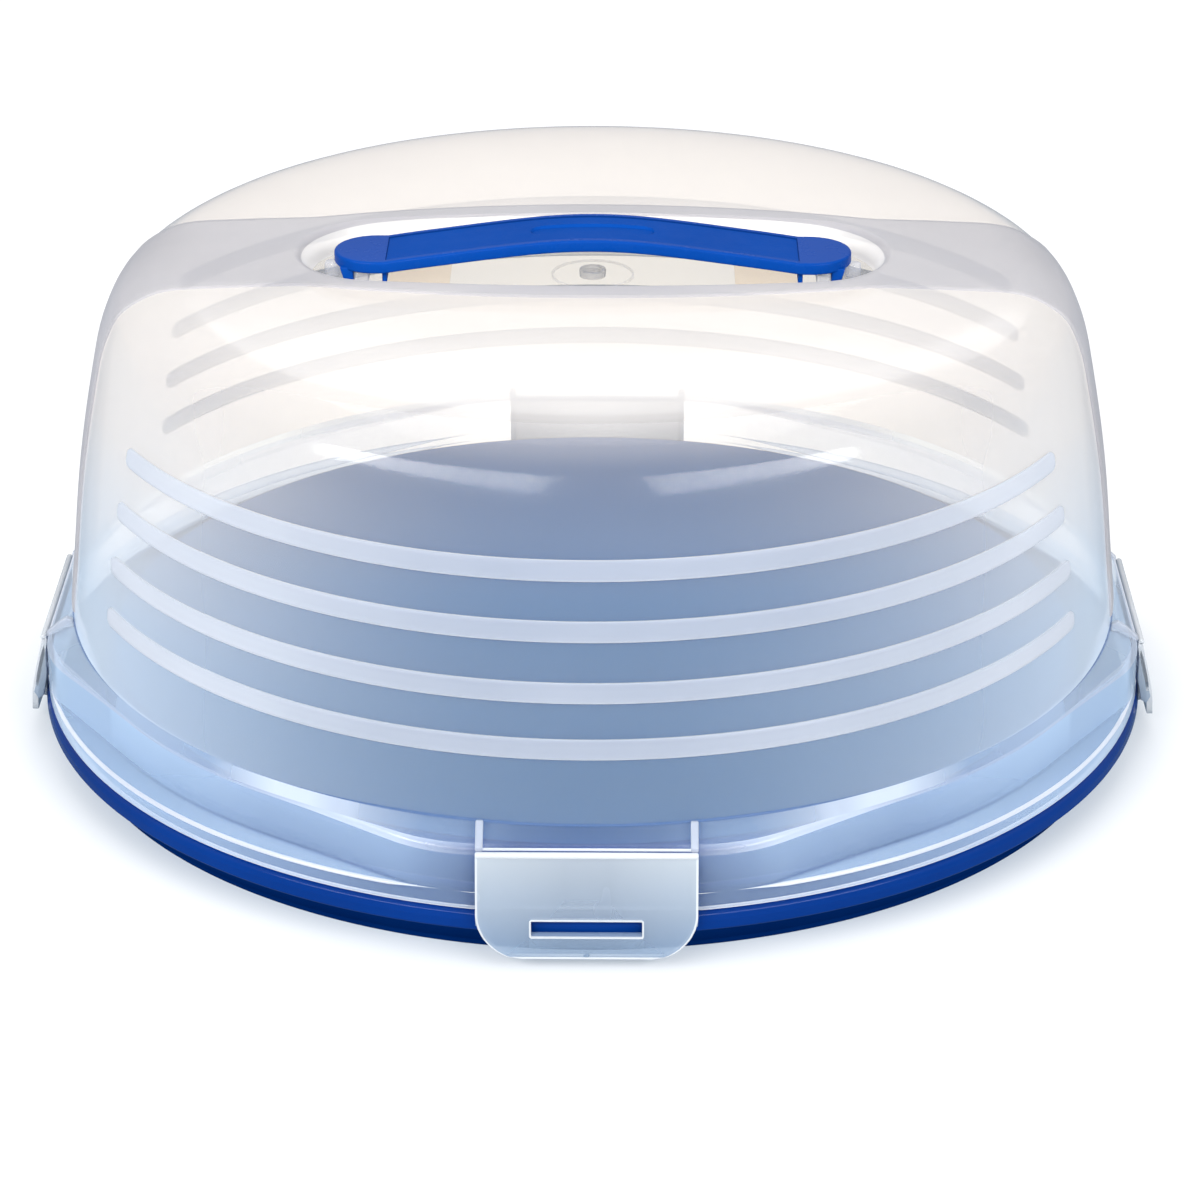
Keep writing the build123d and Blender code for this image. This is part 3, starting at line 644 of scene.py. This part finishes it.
    # skirt, ledge and seating rim, outside and inside
    S, Si = skirt_radius(az_ref, 0.0), skirt_radius(az_ref, WALL)
    rho, rhi = rim_radius(az_ref, 0.0), rim_radius(az_ref, WALL)
    one = np.ones(380)
    r0, z0, n0, n1 = [float(a) for a in dome_at(s_of_z(39.7))]
    cs = [(r0 * one, z0 * one), (CREASE_R * one, CREASE_Z * one), (S, BOSS_Z * one), (S, RIM_Z1 * one),
          (rho, RIM_Z1 * one), (rho, RIM_Z0 * one), (rhi, RIM_Z0 * one), (rhi, (RIM_Z1 - WALL) * one),
          (Si, (RIM_Z1 - WALL) * one), (Si, (BOSS_Z - 1) * one), ((CREASE_R - WALL) * one, (CREASE_Z - 1) * one),
          ((r0 - WALL * n0) * one, (z0 - WALL * n1) * one)]
    sec = rounded([np.stack(c, -1) for c in cs], [0.8, 2.6, 0.7, 0.9, 0.4, 0.3, 0.6, 1.0, 1.0, 0.8], segs=4)
    L = ring(sec[..., 0], sec[..., 1], az_ref[None])
    L[0] = P[0]
    half = 7 * 6 + 3
    row = np.arange(len(L) - 1)[:, None]
    # Cells by section row: dome wall, crease with painted shade, ledge slope and ledge edge with painted highlight
    # streaks, skirt, rim edges whiter and partly painted highlight, then the inner face.
    mat = np.where(row < 4, 0, np.where(row < half + 20, 7, 2))
    mat = np.where((row >= 2) & (row <= 5), 5, mat)
    mat = np.where((row >= 6) & (row <= 7), 8, mat)
    mat = np.where((row >= 8) & (row <= 13), 9, mat)
    mat = np.where(((row >= 23) & (row <= 26)) | ((row >= 30) & (row <= 40)), 4, mat)
    b.grid(L, np.broadcast_to(mat, (len(L) - 1, 380)), wrap=True)

    # inner face of the dome
    zi = [39.7, 45, 52, 60, 69, 78, 87, 96, 104, 111, 117, 121.5, 125, 128, 130.5, 133, 135.2, 137.2, 139, 140.8, 142.2]
    si = np.concatenate([s_of_z(zi), s_of_r([131.5, 127, 122, 116, 110, 104])])
    ri, zz, ar, azn = [a[:, None] for a in dome_at(si)]
    I = ring(ri - WALL * ar, zz - WALL * azn, az_ref[None])
    I[0] = L[-1]
    b.grid(I, 2, wrap=True)
    xi = np.abs(lens(0, az_ref) * np.cos(az_ref))
    lipi = 3.5 + 3.8 * smooth(xi, 52, 84)
    ti = math.tan(math.radians(33.3))
    reach = 1.96 + lipi * ti + 0.5
    base = np.hypot(I[-1][:, 0], I[-1][:, 1])
    rows = []
    for w in (0, 0.25, 0.5, 0.75, 1.0):
        rad = base + (lens(reach, az_ref) - base) * w
        rows.append(ring(rad, dome_z(rad) - WALL, az_ref))
    rows[0] = I[-1]
    b.grid(np.stack(rows), 2, wrap=True)
    zt = dome_z(lens(0, az_ref)) - WALL
    sec = rounded([np.stack([reach, rows[-1][:, 2]], -1), np.stack([1.96 * one, zt], -1),
                   np.stack([-2.0 * one, (FLOOR_Z - WALL) * one], -1),
                   np.stack([-7.0 * one, (FLOOR_Z - WALL) * one], -1)], [lipi, 3.2], segs=5, rest=0.3)
    W = ring(lens(sec[..., 0], az_ref[None]), sec[..., 1], az_ref[None])
    W[0] = rows[-1]
    b.grid(W, 2, wrap=True)
    b.grid(np.stack([W[-1] * [f, f, 1] for f in (1, 0.75, 0.5, 0.25, 0)]), 3, wrap=True)
    return b.make("lid_dome", [M_CLEAR, M_SATIN, M_INNER, M_FLOOR, M_EDGE, M_CREASE_SHADE, M_WALL, M_SKIRT, M_STREAK,
                               M_LIP], "lid", ["lid_shell"], sharp=32)


make_lid()


# ------------------------------------------------------------------ lid: satin ribs
def make_ribs():
    for side, word in ((-1, "front"), (1, "back")):
        for i, zt in enumerate(RIB_TOPS):
            zc, h = zt - RIB_H / 2, RIB_H / 2
            rc = float(dome_at(s_of_z(zc))[0])
            a0 = math.asin(RIB_END_Y / rc)
            near = np.array([0, 0.04, 0.16, 0.4, 0.75, 1.2, 1.8, 2.4, 2.9])
            arc = (pi - 2 * a0) * rc
            sv = np.concatenate([near, np.linspace(2.9, arc - 2.9, 92)[1:-1], (arc - near)[::-1]])
            az = a0 + sv / rc
            e = np.minimum(sv, arc - sv)
            f = np.sqrt(np.clip(1 - (1 - np.clip(e / 2.9, 0, 1)) ** 2, 0, 1))
            up = np.array([-1, -1, -0.93, -0.78, -0.3, 0.3, 0.78, 0.93, 1, 1])
            proud = np.array([-0.5, 0.2, 0.45, 0.6, 0.64, 0.64, 0.6, 0.45, 0.2, -0.5])
            zz = zc + h * up[:, None] * f[None]
            r, z, nr, nz = dome_at(s_of_z(zz))
            pr = proud[:, None] * np.where(proud[:, None] > 0, np.clip(e / 0.7, 0, 1) ** 0.5, 1)
            P = ring(r + pr * nr, z + pr * nz, az[None] * side)
            b = Build()
            m = np.zeros((9, len(az) - 1), int)
            b.grid(P, m)
            b.grid(np.stack([P[-1], P[0]]), 1)
            b.make(f"lid_rib_{word}_{i + 1}", [M_RIB, M_BURIED], "lid", sharp=50, merge=0.001)


make_ribs()


# ------------------------------------------------------------------ lid: fins beside the flaps
def make_fins():
    b = Build()
    pts = [(157.9, 36.5), (157.9, 38.9), (160.0, 39.6), (162.4, 38.0), (164.6, 36.1), (166.2, 34.6), (166.2, 33.2),
           (163.0, 34.6), (160.0, 36.3)]
    for k in range(4):
        for s in (-1, 1):
            x0 = 28.4 if s > 0 else -30.5
            b.solid(prism(pts, 2.1, 0.35, 3), 0, lambda c, k=k, x0=x0: tuple(turn((x0 + c.z, -c.x, c.y), k)))
        # root of the flap's hinge film, a low ridge from fin to fin
        u = np.linspace(0, 2 * pi, 14, endpoint=False)
        ends = [(-28.5, 0.0), (-28.5, 0.42), (28.5, 0.42), (28.5, 0.0)]
        P = np.array([[(x, -(165.55 + rr * math.cos(q)), 33.75 + rr * math.sin(q)) for q in u] for x, rr in ends])
        # The ridge takes the whiter edge material, partly a painted highlight line.
        b.grid(turn(P, k), 1, wrap=True)
    return b.make("lid_fins", [M_FIN, M_EDGE], "lid", sharp=35, merge=0.0005)


make_fins()


# ------------------------------------------------------------------ lid: details on the recess floor
def make_recess_details():
    z = FLOOR_Z
    b = Build()
    for s in (-1, 1):
        # lugs that hold the strap's legs
        box = [(66.8, -9), (71.05, -9), (71.05, 9), (66.8, 9)]
        b.solid(prism(box, 4.2, 0.5, 3), 0, lambda c, s=s: (s * c.x, c.y, z - 0.6 + c.z))
        # half-round stops outside them
        arc = [(78.0 + 2.4 * math.cos(t), 2.4 * math.sin(t)) for t in np.linspace(0, 2 * pi, 28, endpoint=False)]
        b.solid(prism(arc, 4.4, 0.5, 3), 0, lambda c, s=s: (s * c.x, c.y, z - 0.6 + c.z))
    # faint ring round the gate
    lathe(b, [(11.8, z - 0.4), (11.85, z + 0.22), (12.0, z + 0.3), (12.2, z + 0.3), (12.35, z + 0.22), (12.4, z - 0.4),
              (11.8, z - 0.4)], 96, 1)
    b.make("recess_lugs", [M_LUG, M_FAINT], "lid", sharp=40)
    b = Build()
    for s in (-1, 1):
        box = [(42.6, -11), (61.0, -11), (61.0, 11), (42.6, 11)]
        b.solid(prism(box, 1.2, 0.25, 2), 0, lambda c, s=s: (s * c.x, c.y, z - 0.6 + c.z))
    b.make("recess_pads", [M_PAD], "lid", sharp=40, merge=0)
    b = Build()
    lathe(b, [(0, z - 0.5), (3.9, z - 0.5), (4.0, z + 1.5), (3.85, z + 1.75), (3.6, z + 1.8), (3.3, z + 1.75),
              (3.1, z + 1.5), (2.9, z + 0.9), (2.6, z + 0.8), (0, z + 0.8)], 64, 0)
    b.make("recess_gate", [M_GATE], "lid", sharp=40)


make_recess_details()


# ------------------------------------------------------------------ strap handle
def make_handle():
    half, w, straight = 77.4, 12.5, 64.9
    pts = [(-61.8, 147.9), (-42.8, 150.7), (-21.7, 153.5), (-9.8, 154.6), (0, 154.9), (9.8, 154.6), (21.7, 153.5),
           (42.8, 150.7), (61.8, 147.9)]
    arch, _ = spline(pts, (1, 0.17), (1, -0.17), 16)

    def base(x):
        return np.where(np.abs(x) > 61.8, 147.9, np.interp(x, arch[:, 0], arch[:, 1]))

    th = np.linspace(0, pi / 2, 13)
    xs = np.concatenate([np.linspace(0, 14.6, 9), np.arange(14.95, 19.3, 0.35), np.linspace(20.5, 60.6, 16),
                         [61.1, 61.3, 61.55, 61.8, 62.1, 63.3], straight + w * np.sin(th)])
    xs = np.unique(np.round(np.concatenate([-xs, xs]), 5))
    ys = np.concatenate([np.arange(0, 4.21, 0.35), [5.3, 6.8, 8.3, 9.6, 10.05, 10.3, 10.6, 11.2, 11.7, 12.05, 12.3,
                                                    12.44, 12.5]])
    ys = np.concatenate([-ys[:0:-1], ys])
    X = xs[:, None]
    hw = np.where(np.abs(X) > straight, np.sqrt(np.maximum(w**2 - (np.abs(X) - straight) ** 2, 0)), w)
    Y = hw * ys[None] / w
    X = np.broadcast_to(X, Y.shape)
    d = w - np.hypot(np.maximum(np.abs(X) - straight, 0), Y)

    def drop(d, R):
        q = np.clip(R - d, 0, R)
        return R - np.sqrt(np.maximum(R * R - q * q, 0))

    inset = 0.35 * np.clip((10.3 - np.abs(Y)) / 0.25, 0, 1) * np.clip((61.55 - np.abs(X)) / 0.25, 0, 1)
    q = 3.7 - np.hypot(np.maximum(np.abs(X) - 14.8, 0), Y)
    oval = 0.75 * np.clip(q / 0.35, 0, 1)
    Zt = base(X) - drop(d, 0.8) - inset - oval
    Zb = base(X) - 3.6 + drop(d, 0.6)
    top = np.stack([X, Y, Zt], -1)
    bot = np.stack([X, Y, Zb], -1)[:, ::-1]
    mid1 = 0.5 * (top[:, -1:] + bot[:, :1])
    mid2 = 0.5 * (top[:, :1] + bot[:, -1:])
    P = np.concatenate([top, mid1, bot, mid2], 1)
    b = Build()
    nc = len(ys) - 1
    xm = 0.5 * (xs[:-1] + xs[1:])[:, None]
    ym = (0.5 * (ys[:-1] + ys[1:]))[None]
    panel = ((np.abs(xm) < 61.4) & (np.abs(ym) < 10.17)).astype(int)
    m = np.zeros((len(xs) - 1, P.shape[1]), int)
    m[:, :nc] = panel
    # The step faces round the grained panel take a darker blue, painted shade.
    step = ((np.abs(xm) < 61.5) & (np.abs(ym) < 10.29) & ((np.abs(xm) > 61.2) | (np.abs(ym) > 9.7)))
    m[:, :nc] = np.where(step, 2, m[:, :nc])
    b.grid(P, m, wrap=True)
    # legs: outer and inner post on both ends
    z0 = FLOOR_Z + 0.05
    for s in (-1, 1):
        outer = [(73.7, z0), (75.2, 145.2), (71.2, 145.2), (71.2, z0)]
        inner = [(62.6, z0), (62.6, 145.2), (61.2, 145.2), (61.2, z0)]
        for o in (outer, inner):
            b.solid(prism(o, 19.2, 0.35, 3), 0, lambda c, s=s: (s * c.x, c.z - 9.6, c.y))
    return b.make("strap_handle", [M_STRAP, M_PANEL, M_STEP_SHADE], "lid", ["carry_handle"], sharp=34, merge=0.001)


make_handle()

# ------------------------------------------------------------------ flaps
FLAP_OUT = [(167.7, 32.8), (168.9, 27.5), (170.6, 20.5), (171.9, 13.0), (172.5, 8.0), (173.5, 4.0)]


def flap_y(z):
    pr, _ = FLAP_CURVE
    return np.interp(z, pr[::-1, 1], pr[::-1, 0])


FLAP_CURVE = spline(FLAP_OUT, (0.2, -1), (0.3, -1), 12)


def flap_half(z):
    z = np.asarray(z, float)
    return np.where(z >= 16.5, 30.5, 18 + np.sqrt(np.maximum(12.5**2 - (16.5 - z) ** 2, 0)))


def make_flap(name, k, node_name, body):
    b = Build()
    zr = np.array([32.8, 31.6, 29.6, 27.2, 24.6, 22, 19.6, 17.8, 16.5, 15.6, 14.6, 12.4, 10.3, 9.2, 8.0, 6.9, 6.0, 5.2,
                   4.9, 4.55, 4.0])
    cin = np.linspace(-15.2, 15.2, 13)
    X = []
    for z in zr:
        h = float(flap_half(z))
        cout = np.append(np.linspace(0, 1 - 0.62 / (h - 15.2), 8)[1:], 1.0)
        right = 15.2 + (h - 15.2) * cout
        X.append(np.concatenate([-right[::-1], cin, right]))
    X = np.array(X)
    Z = np.broadcast_to(zr[:, None], X.shape)
    Yo = flap_y(Z)
    front = np.stack([X, -Yo, Z], -1)
    thick = 1.8 - 0.5 * smooth(zr, 31.0, 32.8)[:, None] * np.ones_like(X)
    back = np.stack([X, -(Yo - thick), Z], -1)
    rows, cols = X.shape
    hole = np.zeros((rows - 1, cols - 1), bool)
    hole[10:12, 8:20] = True
    idx = np.arange(rows * cols).reshape(rows, cols)
    faces, kinds = [], []
    N = rows * cols
    for i in range(rows - 1):
        for j in range(cols - 1):
            if hole[i, j]:
                continue
            q = [idx[i, j], idx[i, j + 1], idx[i + 1, j + 1], idx[i + 1, j]]
            faces.append([int(v) for v in q])
            faces.append([int(v) + N for v in q[::-1]])
            kinds += [1 if j in (0, cols - 2) or i == rows - 2 else 0] * 2
            for (di, dj, e) in ((-1, 0, (q[0], q[1])), (1, 0, (q[2], q[3])), (0, 1, (q[1], q[2])), (0, -1, (q[3], q[0]))):
                a, c = i + di, j + dj
                if a < 0 or c < 0 or a >= rows - 1 or c >= cols - 1 or hole[a, c]:
                    faces.append([int(e[1]), int(e[0]), int(e[0]) + N, int(e[1]) + N])
                    kinds.append(1)
    b.add(turn(np.concatenate([front.reshape(-1, 3), back.reshape(-1, 3)]), k), faces, kinds)
    flap = b.make(name, [M_CLIP, M_CLIP_EDGE], body, [node_name], sharp=35, merge=0.001, bevel=(0.42, 3, 50))

    b = Build()
    # side ribs on the inside, running out before the round corners
    rib = [(167.2, 31.4), (168.6, 27.5), (170.3, 20.5), (171.2, 14.5), (170.0, 12.2), (168.3, 13.2), (167.0, 20.0),
           (166.8, 29.0)]
    for x0 in (-30.5, 28.7):
        b.solid(prism([(-r, z) for r, z in rib], 1.8, 0.3, 2), 1,
                lambda c, x0=x0: tuple(turn((x0 + c.z, c.x, c.y), k)))
    # catch lip under the slot
    catch = [(172.0, 9.9), (172.0, 6.4), (169.6, 6.0), (168.2, 6.3), (168.1, 7.2), (169.6, 8.8), (170.6, 9.6)]
    b.solid(prism([(-r, z) for r, z in catch], 31.7, 0.3, 2), 1, lambda c: tuple(turn((c.z - 15.85, c.x, c.y), k)))
    # sloping sill at the bottom of the slot
    sill = [(172.25, 9.9), (172.2, 10.2), (171.2, 10.95), (170.6, 10.95), (170.4, 9.9)]
    b.solid(prism([(-r, z) for r, z in sill], 31.9, 0.15, 1), 2, lambda c: tuple(turn((c.z - 15.95, c.x, c.y), k)))
    # narrow raised frame round the slot
    def rect(hx, hz, rr):
        """Rounded rectangle, the same number of points for every size."""
        out = []
        for q, (cx, cz) in enumerate(((hx - rr, hz - rr), (-hx + rr, hz - rr), (-hx + rr, -hz + rr), (hx - rr, -hz + rr))):
            for a in np.linspace(q * pi / 2, (q + 1) * pi / 2, 8):
                out.append((cx + rr * math.cos(a), cz + rr * math.sin(a)))
        return np.array(out)

    zc = 12.45
    loops = []
    for hx, hz, rr, out in ((15.75, 2.75, 0.8, -0.3), (15.75, 2.75, 0.8, 0.1), (15.65, 2.65, 0.7, 0.2),
                            (15.45, 2.45, 0.6, 0.2), (15.3, 2.3, 0.5, 0.12), (15.2, 2.2, 0.45, -0.3)):
        p = rect(hx, hz, rr)
        zz = zc + p[:, 1]
        loops.append(np.stack([p[:, 0], -(flap_y(zz) + out), zz], -1))
    loops.append(loops[0])
    b.grid(turn(np.stack(loops), k), 0, wrap=True)
    # hinge roll along the top edge
    u = np.linspace(0, 2 * pi, 20, endpoint=False)
    ends = [(-30.5, 0.0), (-30.5, 0.55), (-30.35, 0.8), (-30.0, 0.92), (30.0, 0.92), (30.35, 0.8), (30.5, 0.55), (30.5, 0.0)]
    P = np.array([[(x, -(167.25 + rr * math.cos(a)), 32.8 + rr * math.sin(a)) for a in u] for x, rr in ends])
    b.grid(turn(P, k), 0, wrap=True)
    # gate mark under the slot
    a = np.linspace(0, 2 * pi, 20, endpoint=False)
    P = np.array([[(rr * math.cos(q), -(float(flap_y(4.9)) + out), 4.9 + 0.7 * rr * math.sin(q)) for q in a]
                  for rr, out in ((0.0, -0.3), (0.8, -0.3), (0.8, 0.05), (0.65, 0.1), (0.35, 0.06), (0.0, 0.06))])
    b.grid(turn(P, k), 1, wrap=True)
    b.make(name + "_details", [M_CLIP_EDGE, M_CLIP, M_SILL_SHADE], body, sharp=38, merge=0.0005)
    return flap


for word, k in (("front", 0), ("right", 1), ("back", 2), ("left", 3)):
    make_flap("flap_" + word, k, "clip_" + word, "flap_" + word)


# ------------------------------------------------------------------ tray
def make_tray():
    cs = [(0, 26.0), (148.6, 26.0), (150.7, 23.8), (152.2, 14.2), (153.6, 13.0), (165.6, 13.0), (166.4, 15.0),
          (168.0, 15.0), (169.5, 14.2), (170.0, 12.4), (170.0, 9.8), (162.3, 2.0), (161.6, 0.0), (159.0, 0.0),
          (159.0, 2.4), (165.2, 9.0), (165.2, 10.6), (151.4, 10.6), (149.9, 13.0), (148.2, 22.6), (147.2, 23.6), (0, 23.6)]
    rad = [1.6, 1.6, 1.0, 1.0, 0.7, 0.5, 1.0, 1.0, 1.0, 0.9, 1.0, 0.5, 0.4, 0.4, 1.0, 1.0, 1.0, 1.0, 1.0, 1.0]
    sec = rounded([np.array([[r, z]]) for r, z in cs], rad, segs=4)[:, 0]
    b = Build()
    # extra rings on the broad flats
    extra = [(0, 26.0), (40, 26.0), (80, 26.0), (115, 26.0)]
    low = [(115, 23.6), (80, 23.6), (40, 23.6), (0, 23.6)]
    prof = np.concatenate([extra, sec[1:-1], low])
    mid = 0.5 * (prof[:-1] + prof[1:])
    # Below the rim and under the deck the darker blue is painted shade; the deck's top takes the lighter blue, painted
    # light.
    under = np.where((mid[:, 1] < 9.3) | ((np.arange(len(mid)) > np.argmin(prof[:, 1])) & (mid[:, 1] < 23.7)), 1, 0)
    under[(mid[:, 1] > 25.9) & (mid[:, 0] < 148.0)] = 2
    lathe(b, prof, 320, under[:, None])
    # stiffening rings and spokes underneath
    # They take the darker blue of painted shade.
    for r in (52.0, 104.0):
        lathe(b, [(r - 0.2, 24.0), (r, 17.9), (r + 0.3, 17.6), (r + 1.5, 17.6), (r + 1.8, 17.9), (r + 2.0, 24.0),
                  (r - 0.2, 24.0)], 160, 1)
    for i in range(12):
        a = math.radians(15 + 30 * i)
        bar = [(53.0, -0.9), (149.0, -0.9), (149.0, 0.9), (53.0, 0.9)]
        b.solid(prism(bar, 6.4, 0.25, 1), 1, lambda c, a=a: (c.x * math.cos(a) - c.y * math.sin(a),
                                                            c.x * math.sin(a) + c.y * math.cos(a), 17.6 + c.z))
    return b.make("tray_body", [M_TRAY, M_UNDER_SHADE, M_DECK_LIT], "base", ["base_tray"], sharp=35, merge=0.001)


make_tray()

# ------------------------------------------------------------------ floor, light, camera
scene = bpy.context.scene
floor_me = bpy.data.meshes.new("floor")
q = 7.0
floor_me.from_pydata([(-q, -q, -0.0002), (q, -q, -0.0002), (q, q, -0.0002), (-q, q, -0.0002)], [], [(0, 1, 2, 3)])
floor = bpy.data.objects.new("floor", floor_me)
scene.collection.objects.link(floor)
fm, nt = tree("floor_white")
fo = node(nt, "ShaderNodeOutputMaterial")
fp = node(nt, "ShaderNodeBsdfPrincipled")
fc = node(nt, "ShaderNodeTexCoord").outputs["Object"]
nt.links.new(tint(nt, noise(nt, fc, 3, 2), (0.45, 0.45, 0.455), (0.47, 0.47, 0.47)), fp.inputs["Base Color"])
# Painted contact shadow: the floor's glow turns darker and bluish near the tray.
away = node(nt, "ShaderNodeVectorMath", operation="LENGTH")
nt.links.new(fc, away.inputs[0])
glow_with_painted_shadow = tint(nt, away.outputs["Value"], (0.42, 0.55, 0.68), (1, 1, 1), 0.152, 0.198)
nt.links.new(glow_with_painted_shadow, fp.inputs["Emission Color"])
fp.inputs["Emission Strength"].default_value = 0.54
fp.inputs["Roughness"].default_value = 0.6
fp.inputs["Specular IOR Level"].default_value = 0.2
nt.links.new(fp.outputs["BSDF"], fo.inputs["Surface"])
floor_me.materials.append(fm)
floor.visible_glossy = False

world = bpy.data.worlds.new("studio")
scene.world = world
world.use_nodes = True
wt = world.node_tree
bg = wt.nodes["Background"]
wc = node(wt, "ShaderNodeTexCoord").outputs["Generated"]
wz = node(wt, "ShaderNodeSeparateXYZ")
wt.links.new(wc, wz.inputs["Vector"])
height = remap(wt, wz.outputs["Z"], 0.0, 1.0, -1.0, 1.0)
sky = node(wt, "ShaderNodeValToRGB")
stops = ((0.0, (0.17, 0.26, 0.36)), (0.47, (0.24, 0.33, 0.43)), (0.53, (0.46, 0.48, 0.52)), (1.0, (1.02, 1.03, 1.05)))
sky.color_ramp.elements[0].position, sky.color_ramp.elements[0].color = stops[0][0], (*stops[0][1], 1)
sky.color_ramp.elements[1].position, sky.color_ramp.elements[1].color = stops[3][0], (*stops[3][1], 1)
for place, shade in stops[1:3]:
    sky.color_ramp.elements.new(place).color = (*shade, 1)
wt.links.new(height, sky.inputs["Fac"])
wt.links.new(sky.outputs["Color"], bg.inputs["Color"])
bg.inputs["Strength"].default_value = 0.80


def softbox(name, place, target, size, power, colour=(1, 1, 1)):
    light = bpy.data.lights.new(name, "AREA")
    light.shape = "RECTANGLE"
    light.size, light.size_y = size
    light.energy = power
    light.color = colour
    ob = bpy.data.objects.new(name, light)
    scene.collection.objects.link(ob)
    ob.location = place
    ob.rotation_euler = (Vector(target) - Vector(place)).to_track_quat("-Z", "Y").to_euler()
    return ob


softbox("overhead", (0.0, 0.5, 1.9), (0, 0.1, 0.05), (1.6, 1.1), 5)
softbox("key_left", (-0.86, -1.15, 0.92), (0, 0, 0.08), (1.5, 0.42), 25)
softbox("fill_right", (0.88, -1.14, 0.88), (0, 0, 0.08), (1.3, 0.42), 20)
softbox("back", (0.25, 1.55, 1.15), (0, 0, 0.08), (1.5, 0.5), 2)

cam_data = bpy.data.cameras.new("camera")
cam = bpy.data.objects.new("camera", cam_data)
scene.collection.objects.link(cam)
D, elev, turn_a, zt = 1.2, math.radians(24.83), math.radians(0.56), 0.0322
cam.location = (D * math.cos(elev) * math.sin(turn_a), -D * math.cos(elev) * math.cos(turn_a), zt + D * math.sin(elev))
cam.rotation_euler = (Vector((0, 0, zt)) - cam.location).to_track_quat("-Z", "Y").to_euler()
cam_data.sensor_width = 36.0
cam_data.lens = 3848.0 / 1200.0 * 36.0
cam_data.shift_x = 0.0061
cam_data.clip_end = 40.0
scene.camera = cam
scene.view_settings.view_transform = "Standard"
scene.cycles.transparent_max_bounces = 48
